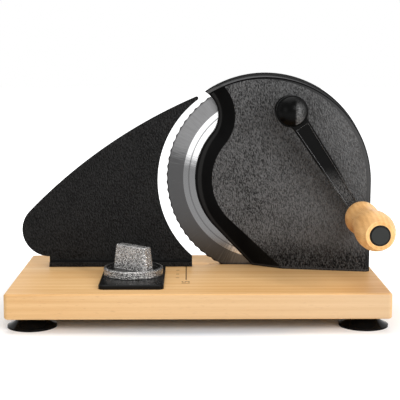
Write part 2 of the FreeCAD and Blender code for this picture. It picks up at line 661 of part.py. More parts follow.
CORNERS = (("front_left", "-", "-"), ("front_right", "", "-"),
           ("rear_left", "-", ""), ("rear_right", "", ""))
FOOT_X = "(dims.base_length / 2 - dims.foot_side_inset)"
FOOT_Y = "(dims.base_depth / 2 - dims.foot_edge_inset)"
HOUSING_ROW_LENGTH = "dims.housing_screw_pitch * (dims.housing_screw_count - 1)"
HOUSING_HEAD_SEAT = "dims.housing_screw_head + dims.housing_screw_hole_gap"
COVER_SCREWS = tuple(
    (name, f"places.knob_x {side} places.cover_screw_x", along)
    for name, side, along in (
        ("front_left", "-", "places.cover_front + dims.cover_screw_setback"),
        ("front_right", "+", "places.cover_front + dims.cover_screw_setback"),
        ("rear_left", "-", "places.cover_rear - dims.cover_screw_setback"),
        ("rear_right", "+", "places.cover_rear - dims.cover_screw_setback")))


def make_base_board():
    """The beech board with its grooves and screw holes."""
    body = new_body("base_board", z="dims.foot_height")
    half_length, half_depth = "dims.base_length / 2", "dims.base_depth / 2"
    top = "dims.base_thickness"
    prism(body, "XY", "0", top,
          rectangle("-" + half_length, "-" + half_depth, half_length, half_depth))
    dress_edges(body, "Fillet", "dims.base_corner", upright)
    dress_edges(body, "Fillet", "dims.base_round", at_level("Z", top))
    dress_edges(body, "Fillet", "dims.base_round", at_level("Z", "0"))
    reach = "(dims.blade_radius + dims.slot_end_gap)"
    half = f"sqrt({reach} ^ 2 - places.axis_height ^ 2)"
    blade_slot = slot_outline(f"places.blade_x - {half}", f"places.blade_x + {half}",
                              "places.blade_front - dims.slot_gap",
                              "dims.loaf_plane + dims.slot_gap")
    prism(body, "XY", f"{top} - dims.blade_sink - dims.slot_floor_gap", top, blade_slot,
          cut=True)
    groove = rectangle("places.knob_x - places.groove_half", "places.groove_front",
                       "places.knob_x + places.groove_half", "places.groove_rear")
    prism(body, "XY", "places.groove_floor - dims.foot_height", top, groove, cut=True)
    bore = ("places.knob_x", "places.knob_y", "dims.spindle_radius + dims.running_fit")
    prism(body, "XY", "places.spindle_bottom - dims.running_fit - dims.foot_height",
          "places.groove_floor - dims.foot_height", bore, cut=True)
    pilots = [(side + FOOT_X, end + FOOT_Y, "dims.foot_screw_radius + dims.seat_fit")
              for _, side, end in CORNERS]
    prism(body, "XY", "0", "dims.foot_screw_length - dims.foot_wall", *pilots, cut=True)
    first = "places.blade_x + dims.housing_screw_first"
    row = "dims.loaf_plane - dims.housing_screw_set"
    shank = prism(body, "XY", "0", top,
                  (first, row, "dims.housing_screw_radius + dims.housing_screw_hole_gap"), cut=True)
    row_of(body, shank, "dims.housing_screw_count", HOUSING_ROW_LENGTH, "X")
    head = prism(body, "XY", "0", HOUSING_HEAD_SEAT,
                 (first, row, "dims.housing_screw_head_radius + dims.housing_screw_hole_gap"),
                 cut=True)
    row_of(body, head, "dims.housing_screw_count", HOUSING_ROW_LENGTH, "X")
    for radius, depth in (("dims.cover_screw_radius", top),
                          ("dims.cover_screw_head_radius", "dims.cover_screw_recess")):
        holes = [(x, y, f"{radius} + dims.housing_screw_hole_gap") for _, x, y in COVER_SCREWS]
        prism(body, "XY", "0", depth, *holes, cut=True)
    return body


def make_feet():
    """Four rubber suction cups and the screws that hold them."""
    rim, wall, top = "dims.foot_rim", "dims.foot_wall", "dims.foot_height"
    ceiling = f"{top} - {wall}"
    room = f"dims.foot_screw_head_radius + {rim}"
    hole = "dims.foot_screw_radius + dims.seat_fit"
    curve = "dims.foot_radius"
    for name, side, end in CORNERS:
        body = new_body("foot_" + name, side + FOOT_X, end + FOOT_Y)
        turned(body, "XZ", [
            line(hole, top), line(hole, ceiling), line(room, ceiling),
            bend(f"dims.foot_radius - {rim}", "0", curve, 1),
            line("dims.foot_radius", "0"), line("dims.foot_radius", rim),
            bend("dims.foot_neck_radius", f"{top} - {wall} / 2", curve, -1),
            line("dims.foot_neck_radius", top)])
        make_screw("foot_screw_" + name, side + FOOT_X, end + FOOT_Y, ceiling,
                   "dims.foot_screw_radius", "dims.foot_screw_length - dims.foot_wall / 2",
                   "dims.foot_screw_head_radius", "dims.foot_screw_head")


# ---------------------------------------------------------------- gear housing

def bearing_of_tangent(radius, foot):
    """Where a line from the board's level at foot touches a circle round the blade axis."""
    span = f"sqrt(({foot}) ^ 2 + places.axis_height ^ 2)"
    return (f"(270 + (atan(({foot}) / places.axis_height)"
            f" - acos(({radius}) / {span})) / 1deg)")


def scoop_edge(inset, foot, beyond):
    """Edge of the slice opening from the notch down, moved into the metal by inset."""
    radius = f"(places.scoop_radius - ({inset}))"
    notch_x, notch_z = polar("places.notch_reach", "dims.notch_bearing")
    touch_x, touch_z = polar(radius, bearing_of_tangent(radius, foot))
    lean = f"(({foot}) - ({touch_x})) / (places.axis_height + {touch_z})"
    return [arc(*polar(radius, "dims.notch_bearing"), notch_x, notch_z, -1),
            arc(touch_x, touch_z, "0", "0", 1),
            line(f"{foot} + {lean} * ({beyond})", f"-(places.axis_height + {beyond})")]


def scoop_cutter(inset, foot, left):
    """Closed outline of everything on the slice side of that edge."""
    notch_x, notch_z = polar("places.notch_reach", "dims.notch_bearing")
    top = f"{notch_z} + dims.notch_radius + ({inset})"
    low = "-(places.axis_height + dims.overrun)"
    outline = [line(notch_x, top)] + scoop_edge(inset, foot, "dims.overrun")
    if left == notch_x:
        return outline + [line(left, low)]
    return outline + [line(left, low), line(left, top)]


def slanted_cut(body, depth):
    """Cut away all that lies in front of the slanted face, moved back by depth."""
    far = "(places.housing_radius + dims.overrun)"
    middle = f"places.face_at_axis + {depth}"
    low = f"{middle} - places.face_rise * {far} - dims.overrun"
    prism(body, "XY", "places.under_cut", far,
          [line("-" + far, low), line(far, low), line(far, f"{middle} - places.face_rise * {far}"),
           line("-" + far, f"{middle} + places.face_rise * {far}")], cut=True)


def arch(radius, low):
    """A round-topped outline with straight sides down to a level."""
    return [line(radius, low), line(radius, "0"), arc(f"-({radius})", "0", "0", "0", 1),
            line(f"-({radius})", low)]


def make_housing_core():
    """The hollow inside the housing, as a solid to cut away, in the housing's own frame."""
    body = new_body("housing_core")
    inset = "(dims.scoop_band + dims.housing_wall)"
    foot = "dims.scoop_band_foot + dims.scoop_foot_wall"
    floor = "-(places.axis_height - dims.housing_floor)"
    rim = "places.core_radius"
    notch = f"(dims.notch_radius + {inset})"
    meeting = (f"(dims.notch_bearing - acos(({rim} ^ 2 + places.notch_reach ^ 2 - {notch} ^ 2)"
               f" / (2 * {rim} * places.notch_reach)) / 1deg)")
    outline = [line(rim, floor), line(rim, "0"), arc(*polar(rim, meeting), "0", "0", 1)]
    outline += scoop_edge(inset, foot, "-dims.housing_floor")
    prism(body, "XZ", "places.face_foremost", "dims.loaf_plane + dims.overrun", outline,
          ("0", "0", "dims.axle_boss_radius"),
          ("places.crank_right", "places.crank_up", "dims.crank_boss_radius"))
    slanted_cut(body, "dims.housing_wall")
    body.Visibility = False
    return body


def make_gear_housing(core):
    """The cast housing: slanted face, sloping band at the slice opening, bosses and pockets."""
    body = new_body("gear_housing", "places.blade_x", "0", "places.axis_z")
    plane, rim = "dims.loaf_plane", "places.housing_radius"
    prism(body, "XZ", "places.face_foremost - dims.overrun", plane,
          arch(rim, "-(places.axis_height + dims.overrun)"), taper="-dims.housing_draft")
    slanted_cut(body, "0")
    far = "-(places.housing_radius + dims.overrun)"
    prism(body, "XZ", "places.face_foremost - dims.overrun", plane,
          scoop_cutter("0", "dims.scoop_foot", far), cut=True)

    def on_slanted_rim(edge):
        middle = edge.valueAt((edge.FirstParameter + edge.LastParameter) / 2)
        face = value("places.face_at_axis") - value("places.face_rise") * middle.x
        return (abs(middle.y - face) < 1e-3 and middle.z > -value("places.axis_height")
                and middle.Length > value("places.scoop_radius + dims.housing_wall")
                and not near_scoop(middle))

    def near_scoop(point):
        notch = FreeCAD.Vector(*map(value, polar("places.notch_reach", "dims.notch_bearing")), 0)
        flat = FreeCAD.Vector(point.x, point.z, 0)
        return (flat - notch).Length < value("dims.notch_radius") + 1e-3 or (
            point.x < value("dims.scoop_band_foot") and point.z < 0)

    dress_edges(body, "Fillet", "dims.housing_round", on_slanted_rim)
    notch_x, _ = polar("places.notch_reach", "dims.notch_bearing")
    doc.recompute()
    lip = new_sketch(body, "XZ", "places.lip_front",
                     [scoop_cutter("0", "dims.scoop_foot", notch_x)])
    face = new_sketch(body, "XZ", "places.face_at_axis",
                      [scoop_cutter("dims.scoop_band", "dims.scoop_band_foot", notch_x)])
    face.AttachmentOffset = FreeCAD.Placement(face.AttachmentOffset.Base, FreeCAD.Rotation(
        FreeCAD.Vector(0, 1, 0), -value("dims.face_slope")))
    face.setExpression("AttachmentOffset.Base.z", "-places.face_at_axis")
    face.setExpression("AttachmentOffset.Rotation.Angle", "-dims.face_slope")
    band = body.newObject("PartDesign::SubtractiveLoft", "gear_housing_band")
    band.Profile = lip
    band.Sections = [face]
    band.Ruled = True
    prism(body, "XZ", "places.face_foremost - dims.overrun", plane,
          rectangle(far, "places.under_cut", far[1:], "-places.axis_height"), cut=True)
    crank = ("places.crank_right", "places.crank_up")
    prism(body, "XZ", "places.crank_boss_front", "places.pocket_floor",
          (*crank, "dims.crank_boss_radius"))
    dress_edges(body, "Chamfer", "dims.boss_bevel", at_level("Y", "places.crank_boss_front"))
    doc.recompute()
    hollow = body.newObject("PartDesign::Boolean", "gear_housing_hollow")
    hollow.Type = "Cut"
    hollow.setObjects([core])
    prism(body, "XZ", "places.recess_floor", plane, ("0", "0", "places.recess_radius"), cut=True)
    prism(body, "XZ", "places.pocket_floor", plane, ("0", "0", "places.gear_pocket"), cut=True)
    prism(body, "XZ", "places.pocket_floor", plane, (*crank, "places.pinion_pocket"), cut=True)
    prism(body, "XZ", "places.axle_front", plane,
          ("0", "0", "dims.axle_radius + dims.seat_fit"), cut=True)
    prism(body, "XZ", "places.crank_boss_front", plane,
          (*crank, "places.bush_outer + dims.seat_fit"), cut=True)
    thread = prism(body, "XY", "-places.axis_height",
                   "dims.housing_screw_grip - places.axis_height",
                   ("dims.housing_screw_first", "dims.loaf_plane - dims.housing_screw_set",
                    "dims.housing_screw_radius + dims.seat_fit"), cut=True)
    row_of(body, thread, "dims.housing_screw_count", HOUSING_ROW_LENGTH, "X")
    return body


def make_housing_screws():
    """Screws up through the board into the housing."""
    seat = f"dims.foot_height + {HOUSING_HEAD_SEAT}"
    first = "places.blade_x + dims.housing_screw_first"
    for number in range(int(value("dims.housing_screw_count"))):
        make_screw(f"housing_screw_{number + 1}",
                   f"{first} + {number} * dims.housing_screw_pitch",
                   "dims.loaf_plane - dims.housing_screw_set", seat, "dims.housing_screw_radius",
                   f"dims.base_thickness - ({HOUSING_HEAD_SEAT}) + dims.housing_screw_grip"
                   " - dims.running_gap",
                   "dims.housing_screw_head_radius", "dims.housing_screw_head")


# ---------------------------------------------------------------- blade and its drive

AT_BLADE = ("places.blade_x", "0", "places.axis_z")
AT_CRANK = ("places.crank_x", "0", "places.crank_z")
AT_HANDLE = ("places.handle_x", "0", "places.handle_z")
CLAMP_SCREW_HEAD = "dims.loaf_plane + dims.clamp_thickness"


def make_ring(label, place, inner, outer, front, rear):
    """A plain ring about an axis along Y."""
    body = new_body(label, *place)
    turned(body, "XY", rectangle(inner, front, outer, rear))
    return body


def make_axle():
    """The fixed axle in the housing, with the washer and screw on its end."""
    end = "places.blade_front"
    axle = new_body("blade_axle", *AT_BLADE)
    turned(axle, "XY", rectangle("0", "places.axle_front", "dims.axle_radius", end))
    prism(axle, "XZ", f"{end} - dims.axle_screw_length", end,
          ("0", "0", "dims.axle_screw_radius + dims.seat_fit"), cut=True)
    washer_rear = f"{end} + dims.axle_washer_thickness"
    make_ring("axle_washer", AT_BLADE, "dims.axle_screw_radius + dims.running_fit",
              "dims.axle_washer_radius", end, washer_rear)
    make_screw("axle_screw", "places.blade_x", washer_rear, "places.axis_z",
               "dims.axle_screw_radius", "dims.axle_screw_length",
               "dims.axle_screw_head_radius", "dims.axle_screw_head", plane="XY", sign="-")


def make_blade_gear():
    """Moulded wheel that carries the blade: teeth, seat, spigot and lightened front."""
    body = new_body("blade_gear", *AT_BLADE)
    front, rear, seat = "places.gear_front", "places.gear_rear", "places.blade_front"
    blank = "places.gear_radius + places.gear_module"
    bore = "places.bush_outer_blade"
    turned(body, "XY", [
        line(bore, front), line(blank, front), line(blank, rear), line("dims.hub_radius", rear),
        line("dims.hub_radius", seat), line("dims.spigot_radius", seat),
        line("dims.spigot_radius", "dims.loaf_plane - dims.axle_end_play"),
        line("dims.axle_washer_radius + dims.axle_washer_room",
             "dims.loaf_plane - dims.axle_end_play"),
        line("dims.axle_washer_radius + dims.axle_washer_room", f"{seat} - dims.axle_end_play"),
        line(bore, f"{seat} - dims.axle_end_play")])
    rim = "places.gear_radius - dims.tooth_root * places.gear_module - dims.gear_rim"
    turned(body, "XY", rectangle("dims.hub_core_radius", front, rim,
                                 f"{rear} - dims.hub_web"), cut=True)
    gap = prism(body, "XZ", front, rear,
                tooth_gap("places.gear_radius", "places.gear_module", "dims.gear_teeth",
                          "dims.crank_bearing"), cut=True)
    ring_of(body, gap, "dims.gear_teeth", "Y")
    thread = prism(body, "XZ", f"{CLAMP_SCREW_HEAD} - dims.clamp_screw_length", seat,
                   ("dims.clamp_pitch_radius", "0",
                    "dims.clamp_screw_radius + dims.seat_fit"), cut=True)
    ring_of(body, thread, "dims.clamp_screws", "Y")
    return body


def make_slicing_blade():
    """Round blade with a bevel on the slice side and a scalloped edge."""
    body = new_body("slicing_blade", *AT_BLADE)
    front, rear, tip = "places.blade_front", "dims.loaf_plane", "dims.blade_radius"
    turned(body, "XY", [
        line("dims.spigot_radius + dims.seat_fit", front), line(f"{tip} - dims.bevel_width", front),
        line(tip, f"{rear} - dims.blade_edge"), line(tip, rear),
        line("dims.spigot_radius + dims.seat_fit", rear)])
    ring = "dims.blade_ring_radius"
    turned(body, "XY", rectangle(ring, front, f"{ring} + dims.blade_ring_width",
                                 f"{front} + dims.blade_ring_depth"), cut=True)
    scallop = prism(body, "XZ", front, rear,
                    (f"{tip} + dims.serration_radius - dims.serration_depth", "0",
                     "dims.serration_radius"), cut=True)
    ring_of(body, scallop, "dims.serrations", "Y")
    hole = prism(body, "XZ", front, rear,
                 ("dims.clamp_pitch_radius", "0",
                  "dims.clamp_screw_radius + dims.clamp_screw_hole_gap"), cut=True)
    ring_of(body, hole, "dims.clamp_screws", "Y")
    return body


def make_clamp():
    """Plate on the loaf side, and the countersunk screws through it."""
    body = new_body("blade_clamp_plate", *AT_BLADE)
    front, rear = "dims.loaf_plane", CLAMP_SCREW_HEAD
    turned(body, "XY", rectangle("dims.clamp_bore_radius", front, "dims.clamp_radius", rear))
    dress_edges(body, "Chamfer", "dims.clamp_bevel", rear_rim)
    hole = "dims.clamp_screw_radius + dims.clamp_screw_hole_gap"
    sink = new_sketch(body, "XZ", rear, [("dims.clamp_pitch_radius", "0",
                                          "dims.clamp_screw_head_radius")])
    through = prism(body, "XZ", front, rear, ("dims.clamp_pitch_radius", "0", hole), cut=True)
    ring_of(body, through, "dims.clamp_screws", "Y")
    seat = new_sketch(body, "XZ", f"{rear} - (dims.clamp_screw_head_radius - ({hole}))",
                      [("dims.clamp_pitch_radius", "0", hole)])
    cone = body.newObject("PartDesign::SubtractiveLoft", "blade_clamp_plate_sink")
    cone.Profile = sink
    cone.Sections = [seat]
    ring_of(body, cone, "dims.clamp_screws", "Y")
    for number in range(int(value("dims.clamp_screws"))):
        turn = f"{number} * 360 / dims.clamp_screws"
        make_screw(f"blade_screw_{number + 1}",
                   f"places.blade_x + dims.clamp_pitch_radius * cos({turn})", rear,
                   f"places.axis_z + dims.clamp_pitch_radius * sin({turn})",
                   "dims.clamp_screw_radius", "dims.clamp_screw_length",
                   "dims.clamp_screw_head_radius - dims.seat_fit", "0", plane="XY", sign="-",
                   flat=False)


def rear_rim(edge):
    """The outer rear edge of the clamp plate."""
    level = edge_level(edge, "Y")
    wide = edge.BoundBox.XLength > 2 * value("dims.clamp_bore_radius") + 1
    return level is not None and wide and abs(level - value(CLAMP_SCREW_HEAD)) < 1e-3


# ---------------------------------------------------------------- crank and handle

def make_crank_shaft():
    """Shaft with a head behind the pinion, flats for pinion and arm, and a threaded end."""
    body = new_body("crank_shaft", *AT_CRANK)
    rear, arm_rear, arm_front = "places.gear_rear", "places.arm_rear", "places.arm_front"
    thread_end = f"{arm_front} - dims.crank_thread"
    turned(body, "XY", [
        line("dims.crank_head_radius", f"{rear} + dims.crank_head"),
        line("0", f"{rear} + dims.crank_head"), line("0", thread_end),
        line("dims.crank_thread_radius", thread_end),
        line("dims.crank_thread_radius", arm_front), line("dims.crank_seat_radius", arm_front),
        line("dims.crank_seat_radius", arm_rear), line("dims.crank_radius", arm_rear),
        line("dims.crank_radius", rear), line("dims.crank_head_radius", rear)])
    for flat, low, high in (("dims.crank_flat", arm_front, arm_rear),
                            ("dims.pinion_flat", "places.gear_front", rear)):
        prism(body, "XZ", low, high, flat_cutter(flat), cut=True)
    return body


def flat_cutter(flat):
    """Outline that takes the side off a round shaft beyond a flat."""
    far = "dims.crank_head_radius"
    return rectangle(flat, f"-{far}", far, far)


def flatted_bore(radius, flat, facing="0"):
    """A round bore with one flat side, to fit a flatted shaft; facing turns it, in degrees."""
    angle = f"(acos(({flat}) / ({radius})) / 1deg)"
    return [line(*polar(radius, f"{facing} + {angle}")),
            arc(*polar(radius, f"{facing} - {angle}"), "0", "0", 1)]


def make_crank_pinion():
    """Pinion on the crank shaft; a tooth points at the blade axis at rest."""
    body = new_body("crank_pinion", *AT_CRANK)
    front, rear = "places.gear_front", "places.gear_rear"
    prism(body, "XZ", front, rear, ("0", "0", "places.pinion_radius + places.gear_module"))
    facing = "dims.crank_bearing + 180 + 180 / dims.pinion_teeth"
    gap = prism(body, "XZ", front, rear,
                tooth_gap("places.pinion_radius", "places.gear_module", "dims.pinion_teeth",
                          facing), cut=True)
    ring_of(body, gap, "dims.pinion_teeth", "Y")
    prism(body, "XZ", front, rear,
          flatted_bore("dims.crank_radius + dims.seat_fit", "dims.pinion_flat + dims.flat_fit"),
          cut=True)
    return body


def make_crank_arm():
    """Cast arm, tapered and hollowed between raised borders."""
    body = new_body("crank_arm", *AT_CRANK)
    body.Placement.Rotation = FreeCAD.Rotation(FreeCAD.Vector(0, 1, 0),
                                               -value("dims.crank_rest"))
    body.setExpression("Placement.Rotation.Angle", "-dims.crank_rest")
    front, rear = "places.arm_front", "places.arm_rear"
    hub, tip, throw = "dims.arm_hub_radius", "dims.arm_tip_radius", "dims.crank_throw"
    root, end = "dims.arm_root_width / 2", "dims.arm_tip_width / 2"
    root_z = f"-sqrt({hub} ^ 2 - ({root}) ^ 2)"
    end_z = f"-({throw}) + sqrt({tip} ^ 2 - ({end}) ^ 2)"
    prism(body, "XZ", front, rear, [
        line(f"-({end})", end_z), arc(end, end_z, "0", f"-({throw})", 1),
        line(root, root_z), arc(f"-({root})", root_z, "0", "0", 1)])
    dress_edges(body, "Fillet", "dims.arm_blend",
                lambda edge: edge.BoundBox.XLength < 1e-4 and edge.BoundBox.ZLength < 1e-4)
    dress_edges(body, "Fillet", "dims.arm_round", at_level("Y", front))
    rib = "dims.arm_rib"
    top = f"-({hub}) - {rib}"
    low = f"-({throw}) + {tip} + {rib}"
    prism(body, "XZ", front, f"{front} + dims.arm_hollow", [
        line(f"{rib} - {end}", low), line(f"{end} - {rib}", low),
        line(f"{root} - {rib}", top), line(f"{rib} - {root}", top)], cut=True)
    prism(body, "XZ", front, rear,
          flatted_bore("dims.crank_seat_radius + dims.seat_fit",
                       "dims.crank_flat + dims.flat_fit", "-dims.crank_rest"), cut=True)
    prism(body, "XZ", front, rear,
          ("0", f"-({throw})", "dims.bolt_thread_radius + dims.seat_fit"), cut=True)
    return body


def make_crank_cap():
    """Domed nut on the front of the shaft."""
    body = new_body("crank_cap", *AT_CRANK)
    seat = "places.arm_front"
    rise = "(dims.cap_height - dims.cap_skirt)"
    dome = f"((dims.cap_radius ^ 2 + {rise} ^ 2) / (2 * {rise}))"
    top = f"{seat} - dims.cap_height"
    bore = "dims.crank_thread_radius + dims.seat_fit"
    floor = f"{seat} - dims.crank_thread - dims.running_gap"
    turned(body, "XY", [
        line("dims.cap_radius", seat), line(bore, seat), line(bore, floor), line("0", floor),
        line("0", top),
        arc("dims.cap_radius", f"{seat} - dims.cap_skirt", "0", f"{top} + {dome}", 1)])
    return body


def make_handle_bolt():
    """Bolt in the arm's end that the handle turns on."""
    body = new_body("handle_bolt", *AT_HANDLE)
    front, shoulder = "places.bolt_head_front", "places.arm_front"
    head_rear = "places.bolt_head_rear"
    thread_end = "places.arm_rear - dims.running_gap"
    turned(body, "XY", [
        line("0", thread_end), line("0", front), line("dims.bolt_head_radius", front),
        line("dims.bolt_head_radius", head_rear), line("dims.bolt_radius", head_rear),
        line("dims.bolt_radius", f"{shoulder} - dims.bolt_collar"),
        line("dims.bolt_collar_radius", f"{shoulder} - dims.bolt_collar"),
        line("dims.bolt_collar_radius", shoulder), line("dims.bolt_thread_radius", shoulder),
        line("dims.bolt_thread_radius", thread_end)])
    prism(body, "XZ", front, f"{front} + dims.screw_slot",
          rectangle("-dims.bolt_head_radius", "-dims.screw_slot / 2", "dims.bolt_head_radius",
                    "dims.screw_slot / 2"), cut=True)
    return body


def swell(radius, along, next_radius, next_along, growing):
    """Two equal arcs that lead smoothly from one girth of the handle to the next."""
    half = f"(({next_along}) - ({along})) / 2"
    step = f"(({next_radius}) - ({radius})) / 2"
    size = f"((({half}) ^ 2 + ({step}) ^ 2) / (2 * abs({step})))"
    middle = (f"(({radius}) + ({next_radius})) / 2",
              f"places.handle_rear - (({along}) + ({next_along})) / 2")
    turn = 1 if growing else -1
    return [bend(*middle, size, turn),
            bend(next_radius, f"places.handle_rear - ({next_along})", size, -turn)]


def end_curve(girth, end, length):
    """Radius of the arc from a girth of the handle to its flat end."""
    step = f"(({girth}) - ({end}))"
    return f"((({length}) ^ 2 + {step} ^ 2) / (2 * {step}))"


def make_handle():
    """Turned wooden handle with its steel sleeve and end cap."""
    grip = new_body("handle_grip", *AT_HANDLE)
    rear, front, seat = "places.handle_rear", "places.handle_front", "places.plug_seat"
    collar, waist, belly = (f"dims.handle_{name}_radius" for name in ("collar", "waist", "belly"))
    bore = "places.sleeve_outer + dims.seat_fit"
    head = "dims.bolt_head_radius + dims.head_room"
    outline = [line(bore, rear), line("dims.handle_tail_radius", rear),
               bend(collar, f"{rear} - dims.handle_collar_at",
                    end_curve(collar, "dims.handle_tail_radius", "dims.handle_collar_at"), -1)]
    outline += swell(collar, "dims.handle_collar_at", waist, "dims.handle_waist_at", False)
    outline += swell(waist, "dims.handle_waist_at", belly, "dims.handle_belly_at", True)
    outline += [
        bend("dims.handle_end_radius", front,
             end_curve(belly, "dims.handle_end_radius",
                       "dims.handle_length - dims.handle_belly_at"), -1),
        line("dims.plug_radius", front), line("dims.plug_radius", seat), line(head, seat),
        line(head, "places.sleeve_front"), line(bore, "places.sleeve_front")]
    turned(grip, "XY", outline)
    make_ring("handle_sleeve", AT_HANDLE, "places.sleeve_bore", "places.sleeve_outer",
              "places.sleeve_front", rear)
    cap = new_body("handle_end_cap", *AT_HANDLE)
    radius, proud = "dims.plug_radius - dims.seat_fit", "dims.plug_proud"
    turned(cap, "XY", [
        line("0", seat), line("0", f"{front} - {proud}"),
        line(f"{radius} - {proud}", f"{front} - {proud}"), line(radius, front),
        line(radius, seat)])


# ---------------------------------------------------------------- fence and thickness adjuster

FENCE_SCREWS = (("left", "places.knob_x - dims.fence_screw_spread / 2"),
                ("right", "places.knob_x + dims.fence_screw_spread / 2"))


def touch(end, centre, end_radius, centre_reach):
    """Where a round end meets a curve struck from a centre; centre_reach runs from centre to end."""
    share = f"({end_radius}) / ({centre_reach})"
    return tuple(f"{at} + ({at} - {mid}) * {share}" for at, mid in zip(end, centre))


def make_fence_plate():
    """Upright fence with a hooked outline round the blade, on a flat foot."""
    body = new_body("fence_plate")
    front, rear = "places.fence_front", "places.fence_rear"
    low, board = "places.fence_bottom", "places.base_top"
    left, right = "-dims.fence_left", "places.fence_right"
    edge = ("places.fence_edge_x", "places.fence_edge_z")
    back = ("places.fence_back_x", "places.fence_back_z")
    nose, tip = "dims.fence_nose_radius", "dims.fence_tip_radius"
    prism(body, "XZ", front, rear, [
        line(right, low), line(*FENCE_HEEL),
        bend(*touch(FENCE_TIP, edge, f"-{tip}", f"places.fence_edge_radius + {tip}"),
             "places.fence_edge_radius", -1),
        arc(*touch(FENCE_TIP, back, tip, f"dims.fence_back_radius - {tip}"), *FENCE_TIP, 1),
        bend(*touch(FENCE_NOSE, back, nose, f"dims.fence_back_radius - {nose}"),
             "dims.fence_back_radius", 1),
        arc(left, f"places.fence_nose_z - {nose}", *FENCE_NOSE, 1),
        line(left, low)])
    foot_top = f"{board} + dims.fence_foot_height"

    def high_outline(edge):
        level = edge_level(edge, "Y")
        return level is not None and edge.BoundBox.ZMin > value(foot_top)

    dress_edges(body, "Fillet", "dims.fence_round", high_outline)
    prism(body, "XZ", "places.foot_front", rear, rectangle(left, low, right, foot_top))

    def inner_corner(edge):
        box = edge.BoundBox
        return (box.XLength > value("dims.fence_left") / 2
                and abs(box.YMin - value(front)) < 1e-3 and abs(box.YMax - value(front)) < 1e-3
                and abs(box.ZMin - value(foot_top)) < 1e-3)

    dress_edges(body, "Fillet", "dims.fence_fillet", inner_corner)
    half_key = "dims.fence_key_width / 2"
    prism(body, "XY", "places.slide_top", low,
          rectangle(f"places.knob_x - {half_key}", "places.foot_front",
                    f"places.knob_x + {half_key}", rear))
    holes = [(x, "places.foot_middle", "dims.fence_screw_radius + dims.seat_fit")
             for _, x in FENCE_SCREWS]
    prism(body, "XY", "places.slide_top", "places.slide_top + dims.fence_screw_grip",
          *holes, cut=True)
    return body


def make_fence_slide():
    """Bar in the board's groove, with a window and the rack that the knob drives."""
    body = new_body("fence_slide", "places.knob_x", "0", "places.slide_bottom")
    half, top = "dims.slide_width / 2", "dims.slide_thickness"
    prism(body, "XY", "0", top,
          rectangle(f"-{half}", "places.slide_front", half, "places.slide_rear"))
    prism(body, "XY", "0", top,
          rectangle("-places.window_left", "places.knob_y - places.window_front",
                    "places.rack_root", "places.knob_y + places.window_rear"), cut=True)
    lean = "tan(dims.pressure_angle)"
    thick = "(places.rack_pitch / 4 - dims.backlash / 4)"
    start = "(places.knob_y - places.teeth_in_front * places.rack_pitch)"
    tooth_tip = "places.adjuster_radius - dims.rack_module"
    at_tip = f"({thick} - dims.rack_module * {lean})"
    at_root = f"({thick} + dims.tooth_root * dims.rack_module * {lean})"
    tooth = prism(body, "XY", "0", top, [
        line(tooth_tip, f"{start} - {at_tip}"), line("places.rack_root", f"{start} - {at_root}"),
        line("places.rack_root", f"{start} + {at_root}"), line(tooth_tip, f"{start} + {at_tip}")])
    row_of(body, tooth, "places.teeth_in_front + places.teeth_behind + 1",
           "places.rack_pitch * (places.teeth_in_front + places.teeth_behind)", "Y")
    hole = "dims.fence_screw_radius + dims.running_fit"
    for side in ("-", ""):
        at = (f"{side}dims.fence_screw_spread / 2", "places.foot_middle")
        prism(body, "XY", "0", top, (*at, hole), cut=True)
        mouth = new_sketch(body, "XY", "0", [(*at, "dims.fence_screw_head_radius")])
        throat = new_sketch(body, "XY", f"dims.fence_screw_head_radius - ({hole})",
                            [(*at, hole)])
        cone = body.newObject("PartDesign::SubtractiveLoft", "fence_slide_sink")
        cone.Profile = mouth
        cone.Sections = [throat]
    return body


def make_fence_screws():
    """Countersunk screws up through the bar into the fence."""
    for name, x in FENCE_SCREWS:
        make_screw("fence_screw_" + name, x, "places.foot_middle", "places.slide_bottom",
                   "dims.fence_screw_radius",
                   "dims.slide_thickness + dims.fence_screw_grip - dims.running_gap",
                   "dims.fence_screw_head_radius - dims.seat_fit", "0", flat=False)


def make_cover():
    """Glossy plate over the adjuster, screwed down from below."""
    body = new_body("adjuster_cover", "places.knob_x", "0", "places.base_top")
    half, top = "places.cover_half", "dims.cover_thickness"
    prism(body, "XY", "0", top, rectangle(f"-{half}", "places.cover_front", half,
                                          "places.cover_rear"))
    front = value("places.cover_front")
    dress_edges(body, "Fillet", "dims.cover_corner",
                lambda edge: upright(edge) and abs(edge.BoundBox.YMin - front) < 1e-3)
    dress_edges(body, "Chamfer", "dims.cover_bevel", at_level("Z", top))
    prism(body, "XY", "0", top,
          ("0", "places.knob_y", "dims.spindle_radius + dims.running_fit"), cut=True)
    holes = [(x.replace("places.knob_x", "0"), y, "dims.cover_screw_radius + dims.seat_fit")
             for _, x, y in COVER_SCREWS]
    prism(body, "XY", "0", "dims.cover_screw_grip", *holes, cut=True)
    seat = "dims.foot_height + dims.cover_screw_recess"
    length = ("dims.base_thickness - dims.cover_screw_recess + dims.cover_screw_grip"
              " - dims.running_gap")
    for name, x, y in COVER_SCREWS:
        make_screw("cover_screw_" + name, x, y, seat, "dims.cover_screw_radius", length,
                   "dims.cover_screw_head_radius", "dims.cover_screw_head")


AT_KNOB = ("places.knob_x", "places.knob_y")


def make_spindle():
    """Spindle of the thickness knob, with flats under the pinion and in the knob."""
    body = new_body("knob_spindle", *AT_KNOB, "places.spindle_bottom")
    foot, radius = "places.spindle_bottom", "dims.spindle_radius"
    top = "places.knob_bottom + dims.spindle_seat"
    prism(body, "XY", "0", f"{top} - {foot}", ("0", "0", radius))
    for low, high in (("places.slide_bottom", "places.slide_top"),
                      ("places.knob_bottom", top)):
        prism(body, "XY", f"{low} - {foot}", f"{high} - {foot}",
              rectangle("dims.spindle_flat", f"-{radius}", radius, radius), cut=True)


